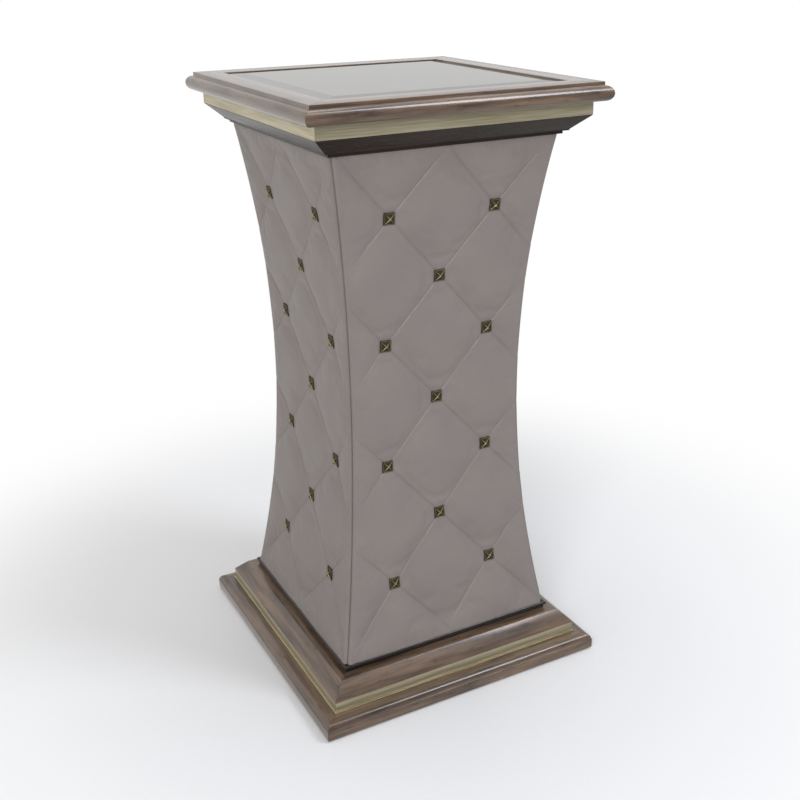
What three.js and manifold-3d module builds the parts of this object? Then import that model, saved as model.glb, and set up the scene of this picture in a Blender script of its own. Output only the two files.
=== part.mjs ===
// Pedestal column stand: a square wooden plinth, a waisted column dressed in quilted leather covers with
// pyramid studs, and a moulded square top with an inset bevelled glass. Millimetres, +Z up, and the origin is
// on the floor under the middle. The front faces -Y.

import * as THREE from 'three';
import { mergeVertices } from 'three/addons/utils/BufferGeometryUtils.js';
import Module from 'manifold-3d';

const wasm = await Module();
wasm.setup();

// ---------------------------------------------------------------------------------------------------------
// Driving dimensions
// ---------------------------------------------------------------------------------------------------------

const HEIGHT = 914;
const SEAT_GAP = 0.3; // between two pieces that rest on or against each other
const MITRE_GAP = 0.3; // between the two cut faces of a mitre

// Glides and plinth
const GLIDE_RADIUS = 12.5;
const GLIDE_HEIGHT = 2.7;
const GLIDE_SIDES = 24;
const PLINTH_PROUD = 23.5; // past the band above it
const PLINTH_RAIL_WIDTH = 58;
const PLINTH_FACE_HEIGHT = 15.3; // the upright face, up to the arris
const PLINTH_STEP = 1.2; // the small step in above the arris
const PLINTH_ROUND = 8.2; // radius of the quarter round above the step

// Base band and sloping base board
const BASE_BAND_HEIGHT = 16.9;
const BASE_BAND_THICKNESS = 12;
const BASE_BAND_SWELL = 1.4; // how far its face swells between the lip and the top edge
const BASE_BAND_LIP = 1.8; // height of the square lip at its foot
const BASE_BAND_LIP_PROUD = 1.4;
const BASE_LEDGE = 14; // level ledge from the foot of the leather to the head of the slope
const BASE_SLOPE_HEIGHT = 20.4;
const BASE_SLOPE_RUN = 20; // how far the slope goes in as it climbs
const BASE_SLOPE_OVERHANG = 0.9; // past the band below it
const BASE_SLOPE_EDGE_ROUND = 1.6;
const BASE_BEAD_HEIGHT = 10.4;
const BASE_BEAD_RADIUS = 3.1;
const BASE_BEAD_PROUD = 1.6; // past the foot of the leather

// Column
const COLUMN_END_WIDTH = 361;
const COLUMN_WAIST_WIDTH = 291;
const COVER_THICKNESS = 15;
const SIDE_PANEL_THICKNESS = 6;
const POST_WIDTH = 26;
const BULKHEAD_THICKNESS = 18;
const COLUMN_STEPS = 16; // straight steps that make up the curve of a face

// Quilting and studs
const QUILT_HALF_PITCH = 84.4; // across, from one seam crossing to the next one beside it
const QUILT_ROWS = 8; // half diamonds, counted down from the head of a cover
const QUILT_FOOT_MARGIN = 8.6; // from the last row of crossings down to the foot
const QUILT_CELLS = 4; // cells across a half diamond
const QUILT_DEPTH = 5; // how far the seams are drawn in
const QUILT_EDGE_FADE = 40; // over which the quilting dies away towards an upright edge
const QUILT_EDGE_SHARE = 0.15; // of the depth that is left at the edge
const QUILT_FULLNESS = 3; // the larger, the flatter the pads and the steeper their sides
const STUD_DIMPLE = 1.5;
const STUD_DIMPLE_RADIUS = 22;
const COVER_EDGE_ROLL = 4.5; // radius of the wrapped upright edges
const COVER_EDGE_OPENING = 5.8; // how far each roll stands back from the corner
const ROLL_STEPS = 3;
const STUD_WIDTH = 17;
const STUD_RIM_HEIGHT = 1.4;
const STUD_HEIGHT = 6;
const STUD_SUNK = 3; // how far the stud's base lies in the leather

// Cornice and top
const NECK_FILLET_HEIGHT = 4.7;
const NECK_FILLET_PROUD = 1.5; // past the head of the leather
const CORNICE_SLOPE_HEIGHT = 20.9;
const CORNICE_SLOPE_LIP = 1.6; // upright lip at its foot
const CORNICE_SLOPE_OVERHANG = 6.7; // past the neck fillet below it
const CORNICE_SLOPE_RUN = 22.7; // how far the slope comes out as it climbs to the band
const CORNICE_BAND_THICKNESS = 12;
const CORNICE_BAND_HEIGHT = 18.8;
const TOP_PROUD = 10.4; // past the band below it
const TOP_RAIL_WIDTH = 36.7;
const TOP_FILLET_HEIGHT = 5.4;
const BULLNOSE_HEIGHT = 21.4;
const BULLNOSE_PROUD = 10.1;
const GLASS_THICKNESS = 6;
const GLASS_EDGE = 2.4; // thickness left at the rim
const GLASS_BEVEL = 24.5;
const GLASS_CLEARANCE = 0.5;

// ---------------------------------------------------------------------------------------------------------
// Heights and half widths that follow from them
// ---------------------------------------------------------------------------------------------------------

const PLINTH_BOTTOM = GLIDE_HEIGHT + SEAT_GAP;
const PLINTH_TOP = PLINTH_BOTTOM + PLINTH_FACE_HEIGHT + PLINTH_ROUND;
const BASE_BAND_BOTTOM = PLINTH_TOP + SEAT_GAP;
const BASE_BAND_TOP = BASE_BAND_BOTTOM + BASE_BAND_HEIGHT;
const BASE_SLOPE_BOTTOM = BASE_BAND_TOP + SEAT_GAP;
const BASE_SLOPE_TOP = BASE_SLOPE_BOTTOM + BASE_SLOPE_HEIGHT;
const BASE_BEAD_BOTTOM = BASE_SLOPE_TOP + SEAT_GAP;
const BASE_BEAD_TOP = BASE_BEAD_BOTTOM + BASE_BEAD_HEIGHT;
const COVER_BOTTOM = BASE_BEAD_TOP + SEAT_GAP;

const TOP_RAIL_BOTTOM = HEIGHT - TOP_FILLET_HEIGHT - BULLNOSE_HEIGHT;
const CORNICE_BAND_TOP = TOP_RAIL_BOTTOM - SEAT_GAP;
const CORNICE_BAND_BOTTOM = CORNICE_BAND_TOP - CORNICE_BAND_HEIGHT;
const CORNICE_SLOPE_TOP = CORNICE_BAND_BOTTOM - SEAT_GAP;
const CORNICE_SLOPE_BOTTOM = CORNICE_SLOPE_TOP - CORNICE_SLOPE_HEIGHT - CORNICE_SLOPE_LIP;
const NECK_FILLET_TOP = CORNICE_SLOPE_BOTTOM - SEAT_GAP;
const NECK_FILLET_BOTTOM = NECK_FILLET_TOP - NECK_FILLET_HEIGHT;
const COVER_TOP = NECK_FILLET_BOTTOM - SEAT_GAP;

const CARCASS_BOTTOM = BASE_BAND_TOP + SEAT_GAP;
const CARCASS_TOP = CORNICE_BAND_BOTTOM - SEAT_GAP;
const WAIST_HEIGHT = (COVER_BOTTOM + COVER_TOP) / 2;
const QUILT_HALF_RISE = (COVER_TOP - COVER_BOTTOM - QUILT_FOOT_MARGIN) / QUILT_ROWS;

const END_HALF = COLUMN_END_WIDTH / 2;
const QUILT_CELL = QUILT_HALF_PITCH / QUILT_CELLS;
const QUILT_COLUMNS = Math.ceil(END_HALF / QUILT_CELL); // each side of the middle, to pass the end width
const WAIST_DEPTH = (COLUMN_END_WIDTH - COLUMN_WAIST_WIDTH) / 2;
const HALF_SPAN = (COVER_TOP - COVER_BOTTOM) / 2;
const FACE_RADIUS = (HALF_SPAN ** 2 + WAIST_DEPTH ** 2) / (2 * WAIST_DEPTH);
const MITRE_BACK = MITRE_GAP / Math.SQRT2;

// Half width of the column over the leather at a height: one hollow arc, narrowest at the waist.
function columnHalf(z) {
  const rise = z - WAIST_HEIGHT;
  return COLUMN_WAIST_WIDTH / 2 + FACE_RADIUS - Math.sqrt(FACE_RADIUS ** 2 - rise ** 2);
}

// Half widths of the mouldings, each stepping out from the last.
const BASE_SLOPE_HEAD = END_HALF + BASE_LEDGE;
const BASE_SLOPE_FOOT = BASE_SLOPE_HEAD + BASE_SLOPE_RUN;
const BASE_BAND_HALF = BASE_SLOPE_FOOT - BASE_SLOPE_OVERHANG;
const PLINTH_HALF = BASE_BAND_HALF + PLINTH_PROUD;
const NECK_FILLET_HALF = END_HALF + NECK_FILLET_PROUD;
const CORNICE_SLOPE_FOOT = NECK_FILLET_HALF + CORNICE_SLOPE_OVERHANG;
const CORNICE_BAND_HALF = CORNICE_SLOPE_FOOT + CORNICE_SLOPE_RUN;
const TOP_FACE_HALF = CORNICE_BAND_HALF + TOP_PROUD;
const GLASS_OPENING_HALF = TOP_FACE_HALF - TOP_RAIL_WIDTH;

// Depths below the leather's face at which the pieces of the column lie.
const PANEL_DEPTH = COVER_THICKNESS + SEAT_GAP;
const POST_DEPTH = PANEL_DEPTH + SIDE_PANEL_THICKNESS + SEAT_GAP;

// ---------------------------------------------------------------------------------------------------------
// Shaping
// ---------------------------------------------------------------------------------------------------------

function toSolid(geometry) {
  const bare = geometry.clone();
  bare.deleteAttribute('normal');
  bare.deleteAttribute('uv');
  const merged = mergeVertices(bare, 1e-4);
  const index = merged.index.array;
  const kept = [];
  for (let i = 0; i < index.length; i += 3) {
    const [a, b, c] = [index[i], index[i + 1], index[i + 2]];
    if (a !== b && b !== c && c !== a) kept.push(a, b, c);
  }
  const vertProperties = new Float32Array(merged.attributes.position.array);
  const triVerts = new Uint32Array(kept);
  return new wasm.Manifold(new wasm.Mesh({ numProp: 3, vertProperties, triVerts }));
}

function toGeometry(solid) {
  const mesh = solid.getMesh();
  const geometry = new THREE.BufferGeometry();
  geometry.setAttribute('position', new THREE.BufferAttribute(new Float32Array(mesh.vertProperties), 3));
  geometry.setIndex(new THREE.BufferAttribute(new Uint32Array(mesh.triVerts), 1));
  geometry.computeVertexNormals();
  return geometry;
}

function outline(points) {
  return new THREE.Shape(points.map(([x, y]) => new THREE.Vector2(x, y)));
}

// Points on an arc, in degrees, as [across, up] pairs. The two radii differ on a flattened round.
function arc(centreAcross, centreUp, radiusAcross, radiusUp, from, to, steps) {
  const points = [];
  for (let i = 0; i <= steps; i += 1) {
    const angle = THREE.MathUtils.degToRad(from + ((to - from) * i) / steps);
    points.push([centreAcross + radiusAcross * Math.cos(angle), centreUp + radiusUp * Math.sin(angle)]);
  }
  return points;
}

function moveVertices(geometry, place) {
  const position = geometry.attributes.position;
  const point = new THREE.Vector3();
  for (let i = 0; i < position.count; i += 1) {
    point.fromBufferAttribute(position, i);
    place(point);
    position.setXYZ(i, point.x, point.y, point.z);
  }
  geometry.computeVertexNormals();
  return geometry;
}

// A length of moulding along the front. Its profile is drawn as distance from the stand's axis and height,
// and every point of the profile runs out to its own place on the two mitres.
function frontMoulding(profile) {
  const bar = new THREE.ExtrudeGeometry(outline(profile), { depth: 2, steps: 1, bevelEnabled: false });
  return moveVertices(bar, (point) => {
    const away = point.x;
    const end = 1 - point.z;
    point.set(end * (away - MITRE_BACK), -away, point.y);
  });
}

// A piece of the column. Its plan is drawn at the column's full end width, and at every height each point
// moves in with the curve of the faces.
function upColumn(plan, bottom, top, steps) {
  const stick = new THREE.ExtrudeGeometry(outline(plan), { depth: 1, steps, bevelEnabled: false });
  return moveVertices(stick, (point) => {
    const height = bottom + (top - bottom) * point.z;
    const drawnIn = END_HALF - columnHalf(height);
    point.x -= Math.sign(point.x) * drawnIn;
    point.y -= Math.sign(point.y) * drawnIn;
    point.z = height;
  });
}

function board(halfWidth, bottom, top) {
  const box = new THREE.BoxGeometry(2 * halfWidth, 2 * halfWidth, top - bottom);
  return box.translate(0, 0, (bottom + top) / 2);
}

// ---------------------------------------------------------------------------------------------------------
// Base
// ---------------------------------------------------------------------------------------------------------

function glide() {
  const disc = new THREE.CylinderGeometry(GLIDE_RADIUS, GLIDE_RADIUS, GLIDE_HEIGHT, GLIDE_SIDES);
  const out = -(PLINTH_HALF - PLINTH_RAIL_WIDTH / 2);
  return disc.rotateX(Math.PI / 2).translate(out, out, GLIDE_HEIGHT / 2);
}

function plinthRail() {
  const inner = PLINTH_HALF - PLINTH_RAIL_WIDTH;
  const arris = PLINTH_BOTTOM + PLINTH_FACE_HEIGHT;
  const roundCentre = PLINTH_HALF - PLINTH_STEP - PLINTH_ROUND;
  return frontMoulding([
    [inner, PLINTH_BOTTOM],
    [PLINTH_HALF, PLINTH_BOTTOM],
    [PLINTH_HALF, arris],
    ...arc(roundCentre, arris, PLINTH_ROUND, PLINTH_ROUND, 0, 90, 6),
    [inner, PLINTH_TOP],
  ]);
}

function baseBoard() {
  const half = BASE_BAND_HALF - BASE_BAND_THICKNESS - SEAT_GAP;
  return board(half, BASE_BAND_BOTTOM, BASE_BAND_TOP);
}

function baseBand() {
  const inner = BASE_BAND_HALF - BASE_BAND_THICKNESS;
  const lip = BASE_BAND_HALF + BASE_BAND_LIP_PROUD;
  const lipTop = BASE_BAND_BOTTOM + BASE_BAND_LIP;
  const middle = (lipTop + BASE_BAND_TOP) / 2;
  const swellHalf = (BASE_BAND_TOP - lipTop) / 2;
  return frontMoulding([
    [inner, BASE_BAND_BOTTOM],
    [lip, BASE_BAND_BOTTOM],
    [lip, lipTop],
    ...arc(BASE_BAND_HALF - BASE_BAND_SWELL, middle, BASE_BAND_SWELL, swellHalf, -90, 90, 6),
    [inner, BASE_BAND_TOP],
  ]);
}

// Where a moulding lies against the side panel, at a height.
function panelSeat(z) {
  return columnHalf(z) - PANEL_DEPTH + SEAT_GAP;
}

function baseSlope() {
  const round = BASE_SLOPE_EDGE_ROUND;
  return frontMoulding([
    [panelSeat(BASE_SLOPE_BOTTOM), BASE_SLOPE_BOTTOM],
    [BASE_SLOPE_FOOT, BASE_SLOPE_BOTTOM],
    ...arc(BASE_SLOPE_HEAD - round / 2, BASE_SLOPE_TOP - round, round, round, 45, 90, 3),
    [panelSeat(BASE_SLOPE_TOP), BASE_SLOPE_TOP],
  ]);
}

function baseBead() {
  const nose = END_HALF + BASE_BEAD_PROUD;
  const centre = nose - BASE_BEAD_RADIUS;
  const middle = BASE_BEAD_TOP - BASE_BEAD_RADIUS;
  return frontMoulding([
    [panelSeat(BASE_BEAD_BOTTOM), BASE_BEAD_BOTTOM],
    [centre, BASE_BEAD_BOTTOM],
    ...arc(centre, middle, BASE_BEAD_RADIUS, BASE_BEAD_RADIUS, -90, 90, 8),
    [panelSeat(BASE_BEAD_TOP), BASE_BEAD_TOP],
  ]);
}

// ---------------------------------------------------------------------------------------------------------
// Column
// ---------------------------------------------------------------------------------------------------------

function cornerPost() {
  const outer = -(END_HALF - POST_DEPTH);
  const inner = outer + POST_WIDTH;
  const plan = [[outer, outer], [inner, outer], [inner, inner], [outer, inner]];
  return upColumn(plan, CARCASS_BOTTOM, CARCASS_TOP, COLUMN_STEPS);
}

// A square board across the column, notched at its corners for the posts.
function bulkhead(bottom) {
  const edge = END_HALF - POST_DEPTH;
  const notch = edge - POST_WIDTH - SEAT_GAP;
  const plan = [
    [-notch, -edge], [notch, -edge], [notch, -notch], [edge, -notch],
    [edge, notch], [notch, notch], [notch, edge], [-notch, edge],
    [-notch, notch], [-edge, notch], [-edge, -notch], [-notch, -notch],
  ];
  return upColumn(plan, bottom, bottom + BULKHEAD_THICKNESS, 1);
}

function sidePanel() {
  const outer = END_HALF - PANEL_DEPTH;
  const inner = outer - SIDE_PANEL_THICKNESS;
  const plan = [
    [-(outer - MITRE_BACK), -outer],
    [outer - MITRE_BACK, -outer],
    [inner - MITRE_BACK, -inner],
    [-(inner - MITRE_BACK), -inner],
  ];
  return upColumn(plan, CARCASS_BOTTOM, CARCASS_TOP, COLUMN_STEPS);
}

// The seams cross where a column line and a row line of the quilting have an even sum. A pad lies between
// two seams of each slant: 0 on a seam and 1 in the middle of a pad.
function padding(x, z) {
  const across = x / QUILT_HALF_PITCH;
  const down = (COVER_TOP - z) / QUILT_HALF_RISE;
  const swell = (place) => 1 - Math.abs(1 - 2 * (place - Math.floor(place))) ** QUILT_FULLNESS;
  return swell((across + down) / 2) * swell((across - down) / 2);
}

function studPlaces() {
  const places = [];
  for (let row = 1; row < QUILT_ROWS; row += 1) {
    const z = COVER_TOP - row * QUILT_HALF_RISE;
    const across = row % 2 ? [-QUILT_HALF_PITCH, QUILT_HALF_PITCH] : [0];
    for (const x of across) places.push([x, z]);
  }
  return places;
}

// The quilting is held flat along the wrapped upright edges and reaches its full depth further in.
function quiltHold(x, z) {
  const fromEdge = columnHalf(z) - COVER_EDGE_OPENING - COVER_EDGE_ROLL - Math.abs(x);
  const share = THREE.MathUtils.smoothstep(fromEdge, 0, QUILT_EDGE_FADE);
  return QUILT_EDGE_SHARE + (1 - QUILT_EDGE_SHARE) * share;
}

// How far the leather's face stands from the stand's axis.
function leatherFace(x, z) {
  let dimple = 0;
  for (const [studX, studZ] of studPlaces()) {
    const reach = Math.hypot(x - studX, z - studZ) / STUD_DIMPLE_RADIUS;
    dimple = Math.max(dimple, STUD_DIMPLE * Math.max(0, 1 - reach));
  }
  return columnHalf(z) - QUILT_DEPTH * quiltHold(x, z) * (1 - padding(x, z)) - dimple;
}

// Plan of a cover at a height, as one loop: over the face between the two rolls, round each roll to the
// mitre, down the mitres and across the back. Columns that would pass the start of a roll stop there.
function coverRing(z) {
  const half = columnHalf(z);
  const faceEnd = half - COVER_EDGE_OPENING - COVER_EDGE_ROLL;
  const ring = [];
  for (let i = -QUILT_COLUMNS; i <= QUILT_COLUMNS; i += 1) {
    const stopped = Math.abs(i * QUILT_CELL) > faceEnd - QUILT_CELL / 3;
    const x = stopped ? Math.sign(i) * faceEnd : i * QUILT_CELL;
    ring.push([x, -leatherFace(x, z)]);
  }
  const rollCentre = half - COVER_EDGE_ROLL;
  const fromMitre = (COVER_EDGE_OPENING - MITRE_BACK) / Math.SQRT2;
  const rollEnd = THREE.MathUtils.radToDeg(Math.acos(fromMitre / COVER_EDGE_ROLL)) - 45;
  const roll = arc(faceEnd, rollCentre, COVER_EDGE_ROLL, COVER_EDGE_ROLL, 90, rollEnd, ROLL_STEPS).slice(1);
  const back = half - COVER_THICKNESS;
  const rightSide = [...roll, [back - MITRE_BACK, back]].map(([x, out]) => [x, -out]);
  const leftSide = rightSide.map(([x, y]) => [-x, y]).reverse();
  return [...ring, ...rightSide, ...leftSide].map(([x, y]) => new THREE.Vector3(x, y, z));
}

// A closed skin over rings of points, from the first ring down to the last. splitsBack says which way a
// cell is divided into its two triangles.
function loft(rings, splitsBack) {
  const corners = [];
  const triangle = (a, b, c) => corners.push(...a, ...b, ...c);
  for (let j = 0; j + 1 < rings.length; j += 1) {
    for (let i = 0; i < rings[j].length; i += 1) {
      const next = (i + 1) % rings[j].length;
      const [a, b, c, d] = [rings[j][i], rings[j + 1][i], rings[j + 1][next], rings[j][next]];
      if (splitsBack(i, j)) {
        triangle(b, c, d);
        triangle(b, d, a);
      } else {
        triangle(a, b, c);
        triangle(a, c, d);
      }
    }
  }
  for (const [end, faceUp] of [[rings[0], true], [rings[rings.length - 1], false]]) {
    const loop = end.filter((point, i) => point.distanceTo(end[(i + 1) % end.length]) > 1e-6);
    for (const [a, b, c] of THREE.ShapeUtils.triangulateShape(loop, [])) {
      if (faceUp) triangle(loop[a], loop[b], loop[c]);
      else triangle(loop[a], loop[c], loop[b]);
    }
  }
  const geometry = new THREE.BufferGeometry();
  geometry.setAttribute('position', new THREE.Float32BufferAttribute(corners, 3));
  return geometry;
}

// The padded cover. Its cells split along the seams, so that every seam is a straight crease.
function paddedCover() {
  const rows = QUILT_ROWS * QUILT_CELLS;
  const rings = [];
  for (let j = 0; j <= rows; j += 1) rings.push(coverRing(COVER_TOP - (j * QUILT_HALF_RISE) / QUILT_CELLS));
  rings.push(coverRing(COVER_BOTTOM));
  return loft(rings, (i, j) => {
    const diamondAcross = Math.floor((i - QUILT_COLUMNS) / QUILT_CELLS);
    const diamondDown = Math.floor(j / QUILT_CELLS);
    return (diamondAcross + diamondDown) % 2 !== 0;
  });
}

// A square stud head: a low rim and a four-sided point, leaning with the face that it is nailed to.
function stud(x, z) {
  const corner = STUD_WIDTH / Math.SQRT2;
  const profile = [
    new THREE.Vector2(0, -STUD_SUNK),
    new THREE.Vector2(corner, -STUD_SUNK),
    new THREE.Vector2(corner, STUD_RIM_HEIGHT),
    new THREE.Vector2(0, STUD_HEIGHT),
  ];
  const head = new THREE.LatheGeometry(profile, 4, Math.PI / 4);
  head.rotateX(Math.PI);
  head.rotateX(-Math.asin((z - WAIST_HEIGHT) / FACE_RADIUS));
  return head.translate(x, -leatherFace(x, z), z);
}

// One dressed side of the column: the padded leather with its own studs.
function leatherCover() {
  let cover = toSolid(paddedCover());
  for (const [x, z] of studPlaces()) cover = cover.add(toSolid(stud(x, z)));
  return toGeometry(cover);
}

// ---------------------------------------------------------------------------------------------------------
// Cornice and top
// ---------------------------------------------------------------------------------------------------------

function neckFillet() {
  return frontMoulding([
    [panelSeat(NECK_FILLET_BOTTOM), NECK_FILLET_BOTTOM],
    [NECK_FILLET_HALF, NECK_FILLET_BOTTOM],
    [NECK_FILLET_HALF, NECK_FILLET_TOP],
    [panelSeat(NECK_FILLET_TOP), NECK_FILLET_TOP],
  ]);
}

function corniceSlope() {
  return frontMoulding([
    [panelSeat(CORNICE_SLOPE_BOTTOM), CORNICE_SLOPE_BOTTOM],
    [CORNICE_SLOPE_FOOT, CORNICE_SLOPE_BOTTOM],
    [CORNICE_SLOPE_FOOT, CORNICE_SLOPE_BOTTOM + CORNICE_SLOPE_LIP],
    [CORNICE_BAND_HALF, CORNICE_SLOPE_TOP],
    [panelSeat(CORNICE_SLOPE_TOP), CORNICE_SLOPE_TOP],
  ]);
}

function corniceBand() {
  const inner = CORNICE_BAND_HALF - CORNICE_BAND_THICKNESS;
  return frontMoulding([
    [inner, CORNICE_BAND_BOTTOM],
    [CORNICE_BAND_HALF, CORNICE_BAND_BOTTOM],
    [CORNICE_BAND_HALF, CORNICE_BAND_TOP],
    [inner, CORNICE_BAND_TOP],
  ]);
}

function corniceBoard() {
  const half = CORNICE_BAND_HALF - CORNICE_BAND_THICKNESS - SEAT_GAP;
  return board(half, CORNICE_BAND_BOTTOM, CORNICE_BAND_TOP);
}

function topRail() {
  const noseHalf = BULLNOSE_HEIGHT / 2;
  return frontMoulding([
    [GLASS_OPENING_HALF, TOP_RAIL_BOTTOM],
    ...arc(TOP_FACE_HALF, TOP_RAIL_BOTTOM + noseHalf, BULLNOSE_PROUD, noseHalf, -90, 90, 12),
    [TOP_FACE_HALF, HEIGHT],
    [GLASS_OPENING_HALF, HEIGHT],
  ]);
}

function topPanel() {
  const half = GLASS_OPENING_HALF - SEAT_GAP;
  return board(half, TOP_RAIL_BOTTOM, HEIGHT - GLASS_THICKNESS - SEAT_GAP);
}

function glassTop() {
  const half = GLASS_OPENING_HALF - GLASS_CLEARANCE;
  const corner = half * Math.SQRT2;
  const flatCorner = (half - GLASS_BEVEL) * Math.SQRT2;
  const under = HEIGHT - GLASS_THICKNESS;
  const profile = [
    new THREE.Vector2(0, under),
    new THREE.Vector2(corner, under),
    new THREE.Vector2(corner, under + GLASS_EDGE),
    new THREE.Vector2(flatCorner, HEIGHT),
    new THREE.Vector2(0, HEIGHT),
  ];
  const plate = new THREE.LatheGeometry(profile, 4, Math.PI / 4);
  return toGeometry(toSolid(plate.rotateX(Math.PI / 2)));
}

// ---------------------------------------------------------------------------------------------------------
// Assembly
// ---------------------------------------------------------------------------------------------------------

const WALNUT = { color: 0x6b5343, roughness: 0.35, metalness: 0 };
const DARK_WALNUT = { color: 0x3f322a, roughness: 0.4, metalness: 0 };
const CHAMPAGNE = { color: 0xb5a98a, roughness: 0.38, metalness: 0.6 };
const LEATHER = { color: 0x88807d, roughness: 0.5, metalness: 0 };
const GLASS = { color: 0xc3c2c0, roughness: 0.05, metalness: 0.1 };
const PLYWOOD = { color: 0xb8986c, roughness: 0.8, metalness: 0 };
const NYLON = { color: 0x2c2b2a, roughness: 0.6, metalness: 0 };

function piece(name, geometry, finish) {
  const mesh = new THREE.Mesh(geometry, new THREE.MeshStandardMaterial(finish));
  mesh.name = name;
  return mesh;
}

const SIDES = ['front', 'right', 'back', 'left'];
const CORNERS = ['front_left', 'front_right', 'back_right', 'back_left'];

// The same piece on all four sides, each a quarter turn on from the last.
function fourAround(names, stem, make, finish) {
  const ring = new THREE.Group();
  names.forEach((name, turn) => {
    const quarter = new THREE.Group();
    quarter.rotation.z = (turn * Math.PI) / 2;
    quarter.add(piece(`${stem}_${name}`, make(), finish));
    ring.add(quarter);
  });
  return ring;
}

function base() {
  const group = new THREE.Group();
  group.add(fourAround(CORNERS, 'glide', glide, NYLON));
  group.add(fourAround(SIDES, 'plinth_rail', plinthRail, WALNUT));
  group.add(piece('base_board', baseBoard(), PLYWOOD));
  group.add(fourAround(SIDES, 'base_band', baseBand, CHAMPAGNE));
  group.add(fourAround(SIDES, 'base_slope', baseSlope, WALNUT));
  group.add(fourAround(SIDES, 'base_bead', baseBead, DARK_WALNUT));
  return group;
}

function column() {
  const group = new THREE.Group();
  const middle = WAIST_HEIGHT - BULKHEAD_THICKNESS / 2;
  group.add(fourAround(CORNERS, 'corner_post', cornerPost, PLYWOOD));
  group.add(piece('bulkhead_bottom', bulkhead(CARCASS_BOTTOM), PLYWOOD));
  group.add(piece('bulkhead_middle', bulkhead(middle), PLYWOOD));
  group.add(piece('bulkhead_top', bulkhead(CARCASS_TOP - BULKHEAD_THICKNESS), PLYWOOD));
  group.add(fourAround(SIDES, 'side_panel', sidePanel, PLYWOOD));
  group.add(fourAround(SIDES, 'leather_cover', leatherCover, LEATHER));
  return group;
}

function top() {
  const group = new THREE.Group();
  group.add(fourAround(SIDES, 'neck_fillet', neckFillet, DARK_WALNUT));
  group.add(fourAround(SIDES, 'cornice_slope', corniceSlope, DARK_WALNUT));
  group.add(piece('cornice_board', corniceBoard(), PLYWOOD));
  group.add(fourAround(SIDES, 'cornice_band', corniceBand, CHAMPAGNE));
  group.add(piece('top_panel', topPanel(), WALNUT));
  group.add(fourAround(SIDES, 'top_rail', topRail, WALNUT));
  group.add(piece('glass_top', glassTop(), GLASS));
  return group;
}

const stand = new THREE.Group();
stand.name = 'pedestal_column_stand';
stand.add(base(), column(), top());

export default stand;
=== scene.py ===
# %% [markdown]
# A waisted pedestal in walnut, champagne leaf and quilted leather.
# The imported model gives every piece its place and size. This lesson dresses it: it turns the mouldings,
# pads the leather, nails on the studs and gives each surface its finish.

# %% Open the frame
import math

import bmesh
import bpy
import numpy as np
from mathutils import Matrix, Vector


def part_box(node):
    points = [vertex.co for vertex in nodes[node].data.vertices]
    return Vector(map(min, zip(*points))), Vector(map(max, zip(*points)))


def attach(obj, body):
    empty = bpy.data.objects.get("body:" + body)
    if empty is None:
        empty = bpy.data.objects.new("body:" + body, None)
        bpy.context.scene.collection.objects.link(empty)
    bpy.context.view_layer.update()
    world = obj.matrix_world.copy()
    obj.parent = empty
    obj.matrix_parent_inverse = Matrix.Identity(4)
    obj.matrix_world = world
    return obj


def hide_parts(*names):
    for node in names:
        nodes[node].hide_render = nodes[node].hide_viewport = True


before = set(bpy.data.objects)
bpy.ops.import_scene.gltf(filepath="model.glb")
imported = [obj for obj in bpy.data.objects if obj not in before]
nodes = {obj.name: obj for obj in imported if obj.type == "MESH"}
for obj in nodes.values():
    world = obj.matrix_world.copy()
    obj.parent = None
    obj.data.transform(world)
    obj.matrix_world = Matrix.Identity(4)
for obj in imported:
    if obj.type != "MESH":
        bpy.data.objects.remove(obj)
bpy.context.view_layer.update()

scene = bpy.context.scene
MM = 0.001

# %% [markdown]
# The camera stands where the photographer stood: a little above the top, off the left front corner, about
# one and a half metres away. Its place and turn were worked out from the square mouldings, whose corners
# give a camera away. The picture was cropped below the lens's axis, which takes a small vertical shift.
# Tilting the camera further down instead would make the column taper towards the floor.

# %% Camera
PICTURE = 800
CAMERA_PLACE = Vector((-751.6, -1453.4, 1093.7)) * MM
CAMERA_TURN, CAMERA_TILT, CAMERA_ROLL = (math.radians(a) for a in (28.05, -19.23, -0.67))
FOCAL_PIXELS = 1103.0
AXIS_ACROSS, AXIS_DOWN = 404.9, 330.0

forward = Vector((
    math.cos(CAMERA_TILT) * math.sin(CAMERA_TURN),
    math.cos(CAMERA_TILT) * math.cos(CAMERA_TURN),
    math.sin(CAMERA_TILT),
))
level = Vector((math.cos(CAMERA_TURN), -math.sin(CAMERA_TURN), 0))
upright = level.cross(forward)
right = level * math.cos(CAMERA_ROLL) + upright * math.sin(CAMERA_ROLL)
up = upright * math.cos(CAMERA_ROLL) - level * math.sin(CAMERA_ROLL)

camera = bpy.data.objects.new("camera", bpy.data.cameras.new("camera"))
scene.collection.objects.link(camera)
camera.matrix_world = Matrix.Translation(CAMERA_PLACE) @ Matrix((right, up, -forward)).transposed().to_4x4()
camera.data.sensor_width = 36
camera.data.lens = camera.data.sensor_width * FOCAL_PIXELS / PICTURE
camera.data.shift_x = (PICTURE / 2 - AXIS_ACROSS) / PICTURE
camera.data.shift_y = (AXIS_DOWN - PICTURE / 2) / PICTURE
scene.camera = camera
print("camera: lens", round(camera.data.lens, 1), "mm, shift", round(camera.data.shift_y, 4))

# %% [markdown]
# Node trees are easier to read as a list of calls than as a picture. One function adds a node, sets what it
# is told and links the sockets it is given. Colours are written as on a paint card, in sRGB hex, and
# turned to the linear numbers that light works in. A third helper starts a material with no nodes in it.


# %% Helpers for node trees
def add(tree, kind, inputs=None, **settings):
    made = tree.nodes.new(kind)
    for name, value in settings.items():
        setattr(made, name, value)
    for name, value in (inputs or {}).items():
        if isinstance(value, bpy.types.NodeSocket):
            tree.links.new(value, made.inputs[name])
        else:
            made.inputs[name].default_value = value
    return made


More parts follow.
